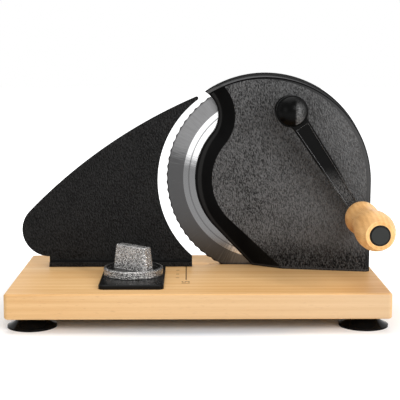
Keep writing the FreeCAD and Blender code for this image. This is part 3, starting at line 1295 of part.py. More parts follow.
def make_adjuster_pinion():
    """Small pinion in the bar's window; a gap faces the rack at rest."""
    body = new_body("adjuster_pinion", *AT_KNOB, "places.slide_bottom")
    prism(body, "XY", "0", "dims.slide_thickness", ("0", "0", "places.adjuster_tip"))
    gap = prism(body, "XY", "0", "dims.slide_thickness",
                tooth_gap("places.adjuster_radius", "dims.rack_module", "dims.adjuster_teeth",
                          "0"), cut=True)
    ring_of(body, gap, "dims.adjuster_teeth", "Z")
    prism(body, "XY", "0", "dims.slide_thickness",
          flatted_bore("dims.spindle_radius + dims.seat_fit",
                       "dims.spindle_flat + dims.flat_fit"), cut=True)


def make_knob():
    """Thickness knob: dished flange with a leaning grip across it."""
    body = new_body("thickness_knob", *AT_KNOB, "places.knob_bottom")
    body.Placement.Rotation = FreeCAD.Rotation(FreeCAD.Vector(0, 0, 1), value("dims.knob_rest"))
    body.setExpression("Placement.Rotation.Angle", "dims.knob_rest")
    rim, top, dish = "dims.knob_radius", "dims.knob_flange", "dims.knob_dish"
    soft = "dims.knob_flange_round"
    hollow = f"({rim} - dims.knob_rim)"
    floor = f"{top} - {dish}"
    turned(body, "XZ", [
        line("0", "0"), line(rim, "0"), line(rim, f"{top} - {soft}"),
        arc(f"{rim} - {soft}", top, f"{rim} - {soft}", f"{top} - {soft}", 1),
        line(hollow, top), line(f"{hollow} - {dish}", floor), line("0", floor)])
    half_long, half_wide = "dims.knob_grip_length / 2", "dims.knob_grip_width / 2"
    corner = "dims.knob_grip_corner"
    prism(body, "XY", floor, "dims.knob_height", [
        line(f"{half_long} - {corner}", f"-({half_wide})"),
        arc(half_long, f"{corner} - {half_wide}", f"{half_long} - {corner}",
            f"{corner} - {half_wide}", 1),
        line(half_long, f"{half_wide} - {corner}"),
        arc(f"{half_long} - {corner}", half_wide, f"{half_long} - {corner}",
            f"{half_wide} - {corner}", 1),
        line(f"{corner} - {half_long}", half_wide),
        arc(f"-({half_long})", f"{half_wide} - {corner}", f"{corner} - {half_long}",
            f"{half_wide} - {corner}", 1),
        line(f"-({half_long})", f"{corner} - {half_wide}"),
        arc(f"{corner} - {half_long}", f"-({half_wide})", f"{corner} - {half_long}",
            f"{corner} - {half_wide}", 1)], taper="-dims.knob_grip_taper")
    dress_edges(body, "Fillet", "dims.knob_grip_round", at_level("Z", "dims.knob_height"))
    prism(body, "XY", "0", "dims.spindle_seat + dims.running_gap",
          flatted_bore("dims.spindle_radius + dims.seat_fit",
                       "dims.spindle_flat + dims.flat_fit", "-dims.knob_rest"), cut=True)


# ---------------------------------------------------------------- build and export

def build():
    """Make every piece, in the order that they are put together."""
    make_base_board()
    make_feet()
    core = make_housing_core()
    make_gear_housing(core)
    make_housing_screws()
    make_ring("crank_bush", AT_CRANK, "places.bush_bore", "places.bush_outer",
              "places.crank_boss_front", "places.pocket_floor")
    make_axle()
    make_blade_gear()
    make_ring("blade_bush", AT_BLADE, "places.axle_bore", "places.bush_outer_blade - dims.seat_fit",
              "places.gear_front", "places.blade_front - dims.axle_end_play")
    make_slicing_blade()
    make_clamp()
    make_crank_shaft()
    make_crank_pinion()
    make_ring("crank_washer", AT_CRANK, "dims.crank_radius + dims.running_fit",
              "dims.washer_radius", "places.washer_front",
              "places.washer_front + dims.washer_thickness")
    make_crank_arm()
    make_crank_cap()
    make_handle_bolt()
    make_handle()
    make_fence_slide()
    make_fence_plate()
    make_fence_screws()
    make_cover()
    make_adjuster_pinion()
    make_spindle()
    make_knob()
    doc.recompute()
    return core


def check_document():
    """Stop when any object failed or any body has no sound solid."""
    for item in doc.Objects:
        if {"Invalid", "Error"} & set(item.State):
            raise RuntimeError(f"{item.Label} did not rebuild: {item.State}")
        if hasattr(item, "Shape") and item.isDerivedFrom("PartDesign::Body"):
            if item.Shape.isNull() or not item.Shape.isValid():
                raise RuntimeError(f"{item.Label} is not a sound solid")


def export(core):
    """Write one STEP file for each piece."""
    os.makedirs("parts", exist_ok=True)
    for body in doc.findObjects("PartDesign::Body"):
        if body is not core:
            body.Shape.exportStep(f"parts/{body.Label}.step")


cutting_core = build()
check_document()
export(cutting_core)
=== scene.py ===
"""Dresses a hand-cranked bread slicer and sets it in a plain white studio.

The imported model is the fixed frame, in metres: +X to the right, +Y away from the crank,
+Z up, with the origin on the table under the middle of the board.  The board lies along X,
the blade turns about an axis along Y, and the wooden handle points towards -Y.
"""

import json
import logging
import math
from abc import ABC, abstractmethod
from dataclasses import dataclass, field
from enum import Enum
from typing import Iterable, Sequence

import bmesh
import bpy
from mathutils import Matrix, Vector

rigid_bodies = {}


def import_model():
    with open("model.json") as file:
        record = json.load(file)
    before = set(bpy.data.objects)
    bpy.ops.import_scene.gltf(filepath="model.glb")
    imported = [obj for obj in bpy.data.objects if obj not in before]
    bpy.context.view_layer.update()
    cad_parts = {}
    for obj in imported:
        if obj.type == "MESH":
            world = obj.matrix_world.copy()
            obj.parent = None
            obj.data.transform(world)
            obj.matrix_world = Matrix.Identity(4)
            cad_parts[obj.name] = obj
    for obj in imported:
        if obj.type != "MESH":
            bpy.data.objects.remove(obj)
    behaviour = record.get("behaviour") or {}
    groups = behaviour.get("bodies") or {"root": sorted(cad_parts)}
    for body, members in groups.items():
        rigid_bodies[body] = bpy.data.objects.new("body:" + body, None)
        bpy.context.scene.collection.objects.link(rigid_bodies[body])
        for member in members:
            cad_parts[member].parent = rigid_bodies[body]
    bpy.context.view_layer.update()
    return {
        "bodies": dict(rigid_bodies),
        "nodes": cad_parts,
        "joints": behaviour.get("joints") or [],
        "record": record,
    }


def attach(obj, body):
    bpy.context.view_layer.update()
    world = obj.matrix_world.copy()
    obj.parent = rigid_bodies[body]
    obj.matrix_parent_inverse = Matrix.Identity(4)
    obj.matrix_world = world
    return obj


Colour = tuple[float, float, float]
Point = tuple[float, float, float]
Pair = tuple[float, float]
Socket = bpy.types.NodeSocket

LOG = logging.getLogger("bread_slicer")
MM = 0.001

# The blade's axis runs along Y; these are its x and z.
BLADE_AXIS: Pair = (68.0 * MM, 124.5 * MM)
# How far a plain and a rounded normal agree where rubbed edges and painted highlights start, and
# where they are full.
EDGE_WEAR_AND_SHEEN_LEAN: Pair = (0.995, 0.86)
# Between these two lie most of the values that noise gives.
NOISE_SPAN: Pair = (0.3, 0.7)
# The wave texture turns one unit of its position into this many radians.
WAVE_RATE = 20.0
BEVEL_RAYS = 4
WELD = 1e-7


class Grain(Enum):
    """Which way the fibres of a wooden piece run."""

    ALONG_BOARD = 0.0
    ALONG_HANDLE = -90.0


class Body(Enum):
    """The bodies of the slicer: the base, and those that move on it."""

    BASE = "base"
    FENCE = "fence"
    ADJUSTER = "adjuster"
    BLADE = "blade"
    CRANK = "crank"
    HANDLE = "handle"


# ---------------------------------------------------------------- node trees

class Graph:
    """A material's node tree, with short ways to add nodes and join them."""

    def __init__(self, name: str) -> None:
        """Start an empty material with a surface shader joined to its output.

        Args:
            name: The material's name.
        """
        self.material = bpy.data.materials.new(name)
        self.material.use_nodes = True
        self.tree = self.material.node_tree
        self.tree.nodes.clear()
        self.output = self.node("ShaderNodeOutputMaterial")
        self.surface = self.node("ShaderNodeBsdfPrincipled")
        self.join(self.surface.outputs["BSDF"], self.output.inputs["Surface"])

    def node(self, kind: str, **settings: object) -> bpy.types.Node:
        """Add a node and set its properties.

        Args:
            kind: The node's type name.
            **settings: Properties of the node by name.

        Returns:
            The new node.
        """
        made = self.tree.nodes.new(kind)
        for key, setting in settings.items():
            setattr(made, key, setting)
        return made

    def join(self, source: Socket, target: Socket) -> None:
        """Link one socket to another."""
        self.tree.links.new(source, target)

    def feed(self, node: bpy.types.Node, inputs: dict[str | int, object]) -> None:
        """Link or set a node's inputs.

        Args:
            node: The node that takes the inputs.
            inputs: Sockets to link, or plain values to set, by input name or place.
        """
        for key, given in inputs.items():
            if isinstance(given, bpy.types.NodeSocket):
                self.join(given, node.inputs[key])
            else:
                node.inputs[key].default_value = given

    def place(self) -> Socket:
        """The position on the piece, in metres, as it stands at rest."""
        return self.node("ShaderNodeTexCoord").outputs["Object"]

    def facing(self) -> Socket:
        """The direction that the surface looks in, before any relief."""
        return self.node("ShaderNodeNewGeometry").outputs["Normal"]

    def sides(self, vector: Socket) -> tuple[Socket, Socket, Socket]:
        """Take a vector apart.

        Args:
            vector: The vector.

        Returns:
            Its X, its Y and its Z.
        """
        made = self.node("ShaderNodeSeparateXYZ")
        self.join(vector, made.inputs[0])
        return made.outputs["X"], made.outputs["Y"], made.outputs["Z"]

    def height(self) -> Socket:
        """How high the place is above the table."""
        return self.sides(self.place())[2]

    def fronts(self, lean: Pair) -> Socket:
        """1 on faces that look towards -Y, fading out between two values of the normal's Y."""
        return self.ranged(self.sides(self.facing())[1], *lean, 1.0, 0.0)

    def agreement(self, first: Socket, second: Socket | Vector) -> Socket:
        """Set one direction against another.

        Args:
            first: A direction.
            second: The other direction.

        Returns:
            Their dot product: 1 where they are the same, 0 where they are square.
        """
        made = self.node("ShaderNodeVectorMath", operation="DOT_PRODUCT")
        self.feed(made, {0: first, 1: second})
        return made.outputs["Value"]

    def mapped(self, vector: Socket, scale: Point = (1, 1, 1), move: Point = (0, 0, 0),
               turn: Point = (0, 0, 0)) -> Socket:
        """Scale, turn and move a position.

        Args:
            vector: The position.
            scale: How much to stretch the pattern's coordinates, on each axis.
            move: What to add, after scaling and turning.
            turn: Degrees about each axis.

        Returns:
            The new position.
        """
        made = self.node("ShaderNodeMapping")
        self.feed(made, {"Vector": vector, "Scale": scale, "Location": move,
                         "Rotation": tuple(math.radians(angle) for angle in turn)})
        return made.outputs["Vector"]

    def noise(self, vector: Socket, scale: float = 1.0, detail: float = 2.0,
              rough: float = 0.5, warp: float = 0.0) -> Socket:
        """Lay soft cloudy noise.

        Args:
            vector: The position.
            scale: How many clouds there are to one unit of the position.
            detail: How many finer layers it has.
            rough: How strong the finer layers are.
            warp: How far it is bent out of shape.

        Returns:
            A value from 0 to 1.
        """
        made = self.node("ShaderNodeTexNoise")
        self.feed(made, {"Vector": vector, "Scale": scale, "Detail": detail,
                         "Roughness": rough, "Distortion": warp})
        return made.outputs["Fac"]

    def cells(self, vector: Socket, blend: float) -> Socket:
        """Lay rounded cells, one to each unit of the position.

        Args:
            vector: The position.
            blend: How softly the cells meet.

        Returns:
            The distance to the middle of the nearest cell.
        """
        made = self.node("ShaderNodeTexVoronoi", feature="SMOOTH_F1")
        self.feed(made, {"Vector": vector, "Scale": 1.0, "Smoothness": blend})
        return made.outputs["Distance"]

    def rings(self, vector: Socket, axis: str, pitch: float, warp: float,
              warp_scale: float) -> Socket:
        """Rings about an axis through the origin.

        Args:
            vector: The position.
            axis: The letter of the axis that the rings run round.
            pitch: Ring to ring, in the position's units.
            warp: How far the rings stray.
            warp_scale: How quickly they stray.

        Returns:
            A wave from 0 to 1.
        """
        made = self.node("ShaderNodeTexWave", wave_type="RINGS", rings_direction=axis)
        self.feed(made, {"Vector": vector, "Scale": math.tau / WAVE_RATE / pitch,
                         "Distortion": warp, "Detail": 2.0, "Detail Scale": warp_scale})
        return made.outputs["Fac"]

    def ranged(self, fac: Socket, low: float, high: float, to_low: float = 0.0,
               to_high: float = 1.0, smooth: bool = False) -> Socket:
        """Carry one span of a value over to another, held at its ends.

        Args:
            fac: The value.
            low: Where the span starts.
            high: Where the span ends.
            to_low: What to give at its start.
            to_high: What to give at its end.
            smooth: Whether to ease in and out.

        Returns:
            The new value.
        """
        made = self.node("ShaderNodeMapRange", clamp=True,
                         interpolation_type="SMOOTHSTEP" if smooth else "LINEAR")
        self.feed(made, {"Value": fac, "From Min": low, "From Max": high,
                         "To Min": to_low, "To Max": to_high})
        return made.outputs["Result"]

    def uneven(self, fac: Socket, middle: float, spread: Pair,
               span: Pair = NOISE_SPAN) -> Socket:
        """Let a value stray to both sides as noise does.

        Args:
            fac: The noise.
            middle: The value.
            spread: How far it strays down and up.
            span: The noise's own low and high.

        Returns:
            The uneven value.
        """
        return self.ranged(fac, *span, middle + spread[0], middle + spread[1])

    def sums(self, kind: str, first: Socket | float, second: Socket | float = 0.0) -> Socket:
        """Do one step of arithmetic.

        Args:
            kind: The step, as the math node names it.
            first: Its first value.
            second: Its second value, where it takes two.

        Returns:
            The outcome.
        """
        made = self.node("ShaderNodeMath", operation=kind)
        self.feed(made, {0: first, 1: second})
        return made.outputs["Value"]

    def times(self, product: Socket, *others: Socket | float) -> Socket:
        """Multiply several values.

        Args:
            product: The first value.
            *others: The rest.

        Returns:
            Their product.
        """
        for other in others:
            product = self.sums("MULTIPLY", product, other)
        return product

    def weighed(self, *parts: tuple[float, Socket]) -> Socket:
        """Add several values, each times its weight.

        Args:
            *parts: The weights and their values.

        Returns:
            The sum.
        """
        total: Socket | None = None
        for weight, part in parts:
            share = self.times(part, weight)
            total = share if total is None else self.sums("ADD", total, share)
        return total

    def mixed(self, fac: Socket, first: Socket | Colour, second: Socket | Colour) -> Socket:
        """Blend two colours.

        Args:
            fac: The second colour's share.
            first: The first colour.
            second: The second colour.

        Returns:
            The blend.
        """
        made = self.node("ShaderNodeMix", data_type="RGBA")
        colours = {}
        for key, given in ((6, first), (7, second)):
            colours[key] = given if isinstance(given, bpy.types.NodeSocket) else (*given, 1.0)
        self.feed(made, {0: fac, **colours})
        return made.outputs[2]

    def raised(self, height: Socket, distance: float, strength: Socket | float,
               over: Socket | None = None) -> Socket:
        """Turn a height from 0 to 1 into a surface relief.

        Args:
            height: The relief's height.
            distance: What a height of 1 stands for, in metres.
            strength: How much of it shows.
            over: A relief that lies under this one.

        Returns:
            The normal to give to the surface.
        """
        made = self.node("ShaderNodeBump")
        self.feed(made, {"Height": height, "Distance": distance, "Strength": strength})
        if over is not None:
            self.join(over, made.inputs["Normal"])
        return made.outputs["Normal"]

    def rounded(self, radius: float) -> Socket:
        """Soften the edges.

        Args:
            radius: How wide to soften them.

        Returns:
            The surface's normal with soft edges.
        """
        made = self.node("ShaderNodeBevel", samples=BEVEL_RAYS)
        self.feed(made, {"Radius": radius})
        return made.outputs["Normal"]

    def off_centre(self, centre: Pair) -> tuple[Socket, Socket]:
        """How far a point lies right of and above an axis along Y, given by its x and z."""
        across, _, up = self.sides(self.mapped(self.place(), move=(-centre[0], 0.0, -centre[1])))
        return across, up

    def span(self, across: Socket, up: Socket) -> Socket:
        """The distance that two steps at a right angle make."""
        return self.sums("SQRT", self.sums("ADD", self.times(across, across), self.times(up, up)))

    def reach(self, centre: Pair) -> Socket:
        """Distance from an axis along Y."""
        return self.span(*self.off_centre(centre))

    def bearing(self, centre: Pair) -> Socket:
        """Direction from an axis along Y, in radians from the right towards up."""
        across, up = self.off_centre(centre)
        return self.sums("ARCTAN2", up, across)

    def edge_wear_and_sheen(self, width: float) -> Socket:
        """1 on outer edges and 0 on flat ground, from how far a rounded normal leans; for rubbed
        edges and painted highlights.
        """
        lean = self.agreement(self.rounded(width), self.facing())
        return self.ranged(lean, *EDGE_WEAR_AND_SHEEN_LEAN, smooth=True)


# ---------------------------------------------------------------- finishes

@dataclass(frozen=True)
class PlankWood:
    """Oiled pale wood with growth rings, long fibres and short flecks."""

    name: str
    pale: Colour
    warm: Colour
    fleck: Colour
    grain: Grain
    heart: Point
    # Each pattern's scale is given along, across and through the fibres.
    ring_pitch: float = 5.5 * MM
    ring_stretch: float = 0.05
    ring_sway: float = 1.8
    ring_sway_scale: float = 26.0
    ring_weight: float = 0.26
    band_scale: Point = (2.2, 85, 165)
    band_span: Pair = (0.30, 0.72)
    band_weight: float = 0.50
    fibre_scale: Point = (9, 700, 900)
    fibre_weight: float = 0.30
    cloud_scale: Point = (4.5, 14, 22)
    cloud_span: Pair = (0.35, 0.65)
    cloud_weight: float = 0.30
    fleck_scale: Point = (150, 1300, 1500)
    fleck_span: Pair = (0.66, 0.76)
    fleck_share: float = 0.40
    tone_span: Pair = (0.22, 1.10)
    roughness: float = 0.42
    spread: Pair = (-0.07, 0.12)
    spread_span: Pair = (0.25, 0.75)
    shine: float = 0.12
    oil: float = 0.04
    oil_roughness: float = 0.30
    relief: float = 0.06 * MM
    relief_share: float = 0.5
    # Painted highlight along the rounded edges.
    edge_highlight: Colour = (0.86, 0.64, 0.38)
    edge_width: float = 1.6 * MM
    edge_share: float = 0.6
    # A darker, greyer tone on the front, with its share at both ends of a span along X.
    front_grey: Colour = (0.49, 0.38, 0.27)
    front_grey_along: Pair = (-0.175, 0.175)
    front_grey_share: Pair = (0.0, 0.0)
    front_lean: Pair = (-0.95, -0.60)

    def greyed_front(self, graph: Graph, colour: Socket) -> Socket:
        """Lay a darker, greyer tone over the long side that faces the user.

        Args:
            graph: The node tree.
            colour: The oiled wood's colour.

        Returns:
            The colour to use.
        """
        along = graph.sides(graph.place())[0]
        share = graph.ranged(along, *self.front_grey_along, *self.front_grey_share)
        return graph.mixed(graph.times(share, graph.fronts(self.front_lean)), colour, self.front_grey)

    def build(self) -> bpy.types.Material:
        """Make the material.

        Returns:
            The material.
        """
        graph = Graph(self.name)
        along = graph.mapped(graph.place(), turn=(0, 0, self.grain.value))
        from_heart = graph.mapped(along, scale=(self.ring_stretch, 1, 1),
                                  move=tuple(-side for side in self.heart))
        rings = graph.rings(from_heart, "X", self.ring_pitch, self.ring_sway,
                            self.ring_sway_scale)
        bands = graph.noise(graph.mapped(along, scale=self.band_scale), detail=3.0, rough=0.55)
        fibres = graph.noise(graph.mapped(along, scale=self.fibre_scale), detail=5.0, rough=0.62)
        clouds = graph.noise(graph.mapped(along, scale=self.cloud_scale), detail=1.5)
        flecks = graph.ranged(graph.noise(graph.mapped(along, scale=self.fleck_scale),
                                          detail=1.0), *self.fleck_span)
        tone = graph.weighed((self.ring_weight, rings),
                             (self.band_weight, graph.ranged(bands, *self.band_span)),
                             (self.fibre_weight, graph.ranged(fibres, *NOISE_SPAN)),
                             (self.cloud_weight, graph.ranged(clouds, *self.cloud_span)))
        colour = graph.mixed(graph.ranged(tone, *self.tone_span), self.pale, self.warm)
        colour = graph.mixed(graph.times(flecks, self.fleck_share), colour, self.fleck)
        if any(self.front_grey_share):
            colour = self.greyed_front(graph, colour)
        # Painted highlight along the edges.
        edges = graph.times(graph.edge_wear_and_sheen(self.edge_width), self.edge_share)
        graph.feed(graph.surface, {
            "Base Color": graph.mixed(edges, colour, self.edge_highlight),
            "Roughness": graph.uneven(fibres, self.roughness, self.spread, self.spread_span),
            "Specular IOR Level": self.shine,
            "Coat Weight": self.oil, "Coat Roughness": self.oil_roughness,
            "Normal": graph.raised(graph.weighed((0.7, fibres), (-0.5, flecks), (0.2, rings)),
                                   self.relief, self.relief_share)})
        return graph.material


@dataclass(frozen=True)
class HammeredPaint(ABC):
    """Stove enamel that has drawn up into small dimples on part of a casting, with painted light
    and shade on the dimples.
    """

    name: str
    low: Colour
    high: Colour
    smooth: Colour
    dimple: Point
    depth: float
    roughness: float
    spread: Pair = (-0.05, 0.08)
    shine: float = 0.5
    metal: float = 0.0
    contrast: float = 0.10
    # Painted light and shade: bumps less the same bumps this far off, in dimples, give light tops
    # and shaded pits.
    emboss_shift: Point = (0.42, 0.42, 0.24)
    pit_scale: Point = (0.8, 0.8, 0.8)
    pit_blend: float = 0.6
    cloud_scale: float = 30.0
    skin_scale: float = 2400.0
    skin_depth: float = 0.02 * MM
    skin_share: float = 0.25
    full_relief: float = 0.9
    smooth_relief: float = 0.04
    soft_edge: float = 0.8 * MM
    # Lighter edges: rubbing on some finishes, and a painted highlight on the housing and the
    # crank.
    wear_and_sheen: Colour = (0.10, 0.10, 0.10)
    wear_and_sheen_share: float = 0.30
    wear_and_sheen_width: float = 0.7 * MM

    @abstractmethod
    def coverage(self, graph: Graph) -> Socket:
        """0 where the paint is smooth, 1 where it is dimpled."""

    def shaded(self, graph: Graph, colour: Socket, painted_emboss: Socket) -> Socket:
        """Painted light and shade over large areas; plain paint keeps the colour as it is."""
        return colour

    def build(self) -> bpy.types.Material:
        """Make the material.

        Returns:
            The material.
        """
        graph = Graph(self.name)
        place = graph.place()
        grain = graph.mapped(place, scale=tuple(1.0 / side for side in self.dimple))
        bumps, beside = (graph.noise(spot, rough=0.55, warp=0.5)
                         for spot in (grain, graph.mapped(grain, move=self.emboss_shift)))
        pits = graph.cells(graph.mapped(grain, scale=self.pit_scale), self.pit_blend)
        cloud = graph.noise(place, scale=self.cloud_scale)
        skin = graph.noise(place, scale=self.skin_scale, detail=1.0)
        painted_emboss = graph.ranged(graph.sums("SUBTRACT", bumps, beside), -self.contrast,
                              self.contrast)
        tone = graph.weighed((0.85, painted_emboss), (0.16, graph.ranged(cloud, *NOISE_SPAN)))
        colour = graph.mixed(graph.ranged(tone, 0.0, 1.0), self.low, self.high)
        cover = self.coverage(graph)
        plain = graph.mixed(graph.times(cloud, 0.5), self.smooth, self.low)
        colour = self.shaded(graph, graph.mixed(cover, plain, colour), painted_emboss)
        # Rubbed edges, and painted highlights on the housing and the crank.
        edges = graph.times(graph.edge_wear_and_sheen(self.wear_and_sheen_width), self.wear_and_sheen_share)
        height = graph.weighed((0.75, graph.ranged(bumps, 0.28, 0.72)), (0.45, pits))
        strength = graph.ranged(cover, 0.0, 1.0, self.smooth_relief, self.full_relief)
        under = graph.raised(skin, self.skin_depth, self.skin_share,
                             over=graph.rounded(self.soft_edge))
        graph.feed(graph.surface, {
            "Base Color": graph.mixed(edges, colour, self.wear_and_sheen), "Metallic": self.metal,
            "Roughness": graph.uneven(cloud, self.roughness, self.spread),
            "Specular IOR Level": self.shine,
            "Normal": graph.raised(height, self.depth, strength, over=under)})
        return graph.material


@dataclass(frozen=True)
class FaceHammered(HammeredPaint):
    """Dimpled on the flat front and back, and smooth where the casting turns away."""

    face: Point = (0.0, -1.0, 0.0)
    face_lean: Pair = (0.986, 0.997)

    def coverage(self, graph: Graph) -> Socket:
        """1 where the surface lies along the painted face, 0 where it turns away."""
        level = graph.agreement(graph.facing(), Vector(self.face).normalized())
        return graph.ranged(graph.sums("ABSOLUTE", level), *self.face_lean, smooth=True)


@dataclass(frozen=True)
class HousingHammered(FaceHammered):
    """The housing's paint: a plain rim; painted shade in the groove inside it, on its side wall
    and on its foot; painted light on its right, lip and seam.
    """

    # The rim starts this far from the arch's axis, given by its x and z.
    centre: Pair = (0.0, 0.0)
    rim_from: float = 1.0
    rim_fade: float = 0.4 * MM
    rim_tone: Colour = (0.088, 0.088, 0.089)
    # Painted shade: darker on the rim's side wall, and near black in the groove inside the rim.
    wall_shade: Colour = (0.036, 0.036, 0.036)
    wall_pits: float = 0.15
    groove: Colour = (0.003, 0.003, 0.003)
    groove_width: float = 0.9 * MM
    front_lean: Pair = (-0.75, -0.45)
    # Painted light: the front grows lighter towards +X, between these two x.
    painted_light_side: Pair = (0.05, 0.17)
    painted_light_share: float = 0.42
    # Painted shade: darker towards the table below foot_top, broken up by the dimples.
    foot_top: float = 71.0 * MM
    foot_fade: float = 24.0 * MM
    foot_shade_patchiness: float = 0.50
    foot_shade: Colour = (0.005, 0.005, 0.005)
    # Painted highlights: the lip's line lies at a y, and the seam's at a height.
    lip_at: float = 36.3 * MM
    lip_width: float = 0.95 * MM
    lip_highlight_share: float = 0.8
    lip_highlight: Colour = (0.024, 0.024, 0.024)
    seam_at: float = 37.6 * MM
    seam_width: float = 0.8 * MM
    seam_highlight_share: float = 0.7
    seam_highlight: Colour = (0.060, 0.060, 0.060)

    def arch(self, graph: Graph) -> Socket:
        """Distance from the axis above it, and from its upright plane below it."""
        across, up = graph.off_centre(self.centre)
        return graph.span(across, graph.sums("MAXIMUM", up, 0.0))

    def band(self, graph: Graph, value: Socket, middle: float, width: float) -> Socket:
        """1 within a width of a value, else 0."""
        away = graph.sums("ABSOLUTE", graph.sums("SUBTRACT", value, middle))
        return graph.ranged(away, 0.5 * width, width, 1.0, 0.0)

    def shaded(self, graph: Graph, colour: Socket, painted_emboss: Socket) -> Socket:
        """Lay painted light on the right, the lip and the seam, and painted shade on the foot, the
        side wall and the groove, with the rim.

        Args:
            graph: The node tree.
            colour: The paint's colour so far.
            painted_emboss: The dimples' painted light and shade, 1 on their lighter sides and 0 on
                their shaded sides.

        Returns:
            The colour to use.
        """
        across, deep, high = graph.sides(graph.place())
        front = graph.fronts(self.front_lean)
        # Painted light on the right of the front.
        side = graph.ranged(across, *self.painted_light_side, 0.0, self.painted_light_share)
        colour = graph.mixed(graph.times(side, front), colour, self.high)
        # Painted shade on the foot.
        low = graph.ranged(high, self.foot_top - self.foot_fade, self.foot_top, 1.0, 0.0,
                           smooth=True)
        patchy = graph.ranged(painted_emboss, 0.0, 1.0, 1.0, self.foot_shade_patchiness)
        colour = graph.mixed(graph.times(low, patchy), colour, self.foot_shade)
        # Painted highlight along the lip.
        lip = self.band(graph, deep, self.lip_at, self.lip_width)
        colour = graph.mixed(graph.times(lip, self.lip_highlight_share), colour, self.lip_highlight)
        # Painted highlight along the seam.
        seam = self.band(graph, high, self.seam_at, self.seam_width)
        colour = graph.mixed(graph.times(front, seam, self.seam_highlight_share), colour, self.seam_highlight)
        reach = self.arch(graph)
        rim = graph.ranged(reach, self.rim_from, self.rim_from + self.rim_fade)
        # Painted shade on the rim's side wall.
        wall = graph.mixed(graph.ranged(painted_emboss, 0.0, 1.0, self.wall_pits, 1.0), self.groove,
                           self.wall_shade)
        colour = graph.mixed(rim, colour, graph.mixed(front, wall, self.rim_tone))
        # Painted shade in the groove.
        line = self.band(graph, reach, self.rim_from, self.groove_width)
        return graph.mixed(graph.times(line, front), colour, self.groove)


@dataclass(frozen=True)
class DishHammered(HammeredPaint):
    """Dimpled outside with painted shade in its rim's pits; smooth on a dish's level floor, and
    smooth and dark as painted shade on its inner wall.
    """

    # The dish's upright axis, given by its x and y, and the height of its floor.
    axis: Pair = (0.0, 0.0)
    floor: float = 0.0
    floor_fade: float = 0.3 * MM
    floor_lean: Pair = (0.95, 0.80)
    # The inner wall is left smooth and dark, as painted shade.
    shaded_wall_lean: Pair = (-0.45, -0.10)
    rim_height: float = 5.0 * MM
    rim_fade: float = 1.0 * MM
    # Painted shade in the pits of the rim's dimples.
    pit_span: Pair = (0.15, 0.75)
    pit_shade_share: float = 0.9
    pit_shade: Colour = (0.004, 0.004, 0.004)

    def coverage(self, graph: Graph) -> Socket:
        """Leave the dish's floor smooth, and its inner wall smooth and dark as painted shade.

        Args:
            graph: The node tree.

        Returns:
            0 on the floor and the inner wall, 1 elsewhere.
        """
        outward = graph.node("ShaderNodeVectorMath", operation="NORMALIZE")
        graph.join(graph.mapped(graph.place(), scale=(1, 1, 0),
                                move=(-self.axis[0], -self.axis[1], 0)), outward.inputs[0])
        lean = graph.agreement(outward.outputs["Vector"], graph.facing())
        above = graph.ranged(graph.height(), self.floor, self.floor + self.floor_fade)
        upright = graph.ranged(graph.sides(graph.facing())[2], *self.floor_lean)
        return graph.times(graph.sums("MAXIMUM", above, upright),
                           graph.ranged(lean, *self.shaded_wall_lean))

    def shaded(self, graph: Graph, colour: Socket, painted_emboss: Socket) -> Socket:
        """Lay painted shade in the pits on the dish's rim.

        Args:
            graph: The node tree.
            colour: The paint's colour so far.
            painted_emboss: The dimples' painted light and shade, 1 on their lighter sides and 0 on
                their shaded sides.

        Returns:
            The colour to use.
        """
        top = self.floor + self.rim_height
        rim = graph.ranged(graph.height(), top, top + self.rim_fade, self.pit_shade_share, 0.0)
        pits = graph.ranged(painted_emboss, *self.pit_span, 1.0, 0.0)
        return graph.mixed(graph.times(rim, pits), colour, self.pit_shade)


@dataclass(frozen=True)
class HeightHammered(HammeredPaint):
    """Dimpled on one side of a height, and smooth on its other side."""

    smooth_at: float = 0.0
    dimpled_at: float = 1.0

    def coverage(self, graph: Graph) -> Socket:
        """0 at the smooth height, 1 at the dimpled height."""
        return graph.ranged(graph.height(), self.smooth_at, self.dimpled_at, smooth=True)


@dataclass(frozen=True)
class SmoothCoat:
    """Gloss paint, moulded plastic or rubber: an even coat with soft unevenness."""

    name: str
    colour: Colour
    wear_and_sheen: Colour
    roughness: float
    spread: Pair = (0.0, 0.10)
    shine: float = 0.5
    grain: float = 1.2 * MM
    grain_depth: float = 0.015 * MM
    grain_share: float = 0.6
    soft_edge: float = 0.5 * MM
    edge_width: float = 0.6 * MM
    edge_share: float = 0.4
    cloud_scale: float = 55.0
    scuff_scale: Point = (900, 120, 240)
    scuff_turn: Point = (20, 35, 10)
    scuff_span: Pair = (0.62, 0.78)

    def build(self) -> bpy.types.Material:
        """Make the material.

        Returns:
            The material.
        """
        graph = Graph(self.name)
        place = graph.place()
        cloud = graph.noise(place, scale=self.cloud_scale, detail=3.0)
        skin = graph.noise(place, scale=1.0 / self.grain)
        scuffs = graph.ranged(graph.noise(graph.mapped(
            place, scale=self.scuff_scale, turn=self.scuff_turn)), *self.scuff_span)
        colour = graph.mixed(graph.weighed((0.30, cloud), (0.25, skin)), self.colour, self.wear_and_sheen)
        colour = graph.mixed(graph.times(graph.edge_wear_and_sheen(self.edge_width), self.edge_share),
                             colour, self.wear_and_sheen)
        dulled = graph.uneven(cloud, self.roughness, self.spread)
        graph.feed(graph.surface, {
            "Base Color": self.marked_and_highlighted(graph, colour),
            "Roughness": graph.weighed((1.0, dulled), (0.12, scuffs)),
            "Specular IOR Level": self.shine,
            "Normal": graph.raised(self.skin(graph, skin), self.grain_depth, self.grain_share,
                                   over=graph.rounded(self.soft_edge))})
        return graph.material

    def marked_and_highlighted(self, graph: Graph, colour: Socket) -> Socket:
        """The colour with this coat's own marks and painted highlight, of which a plain coat has
        none.
        """
        return colour

    def skin(self, graph: Graph, skin: Socket) -> Socket:
        """The relief of the coat, which a plain coat takes as it is."""
        return skin


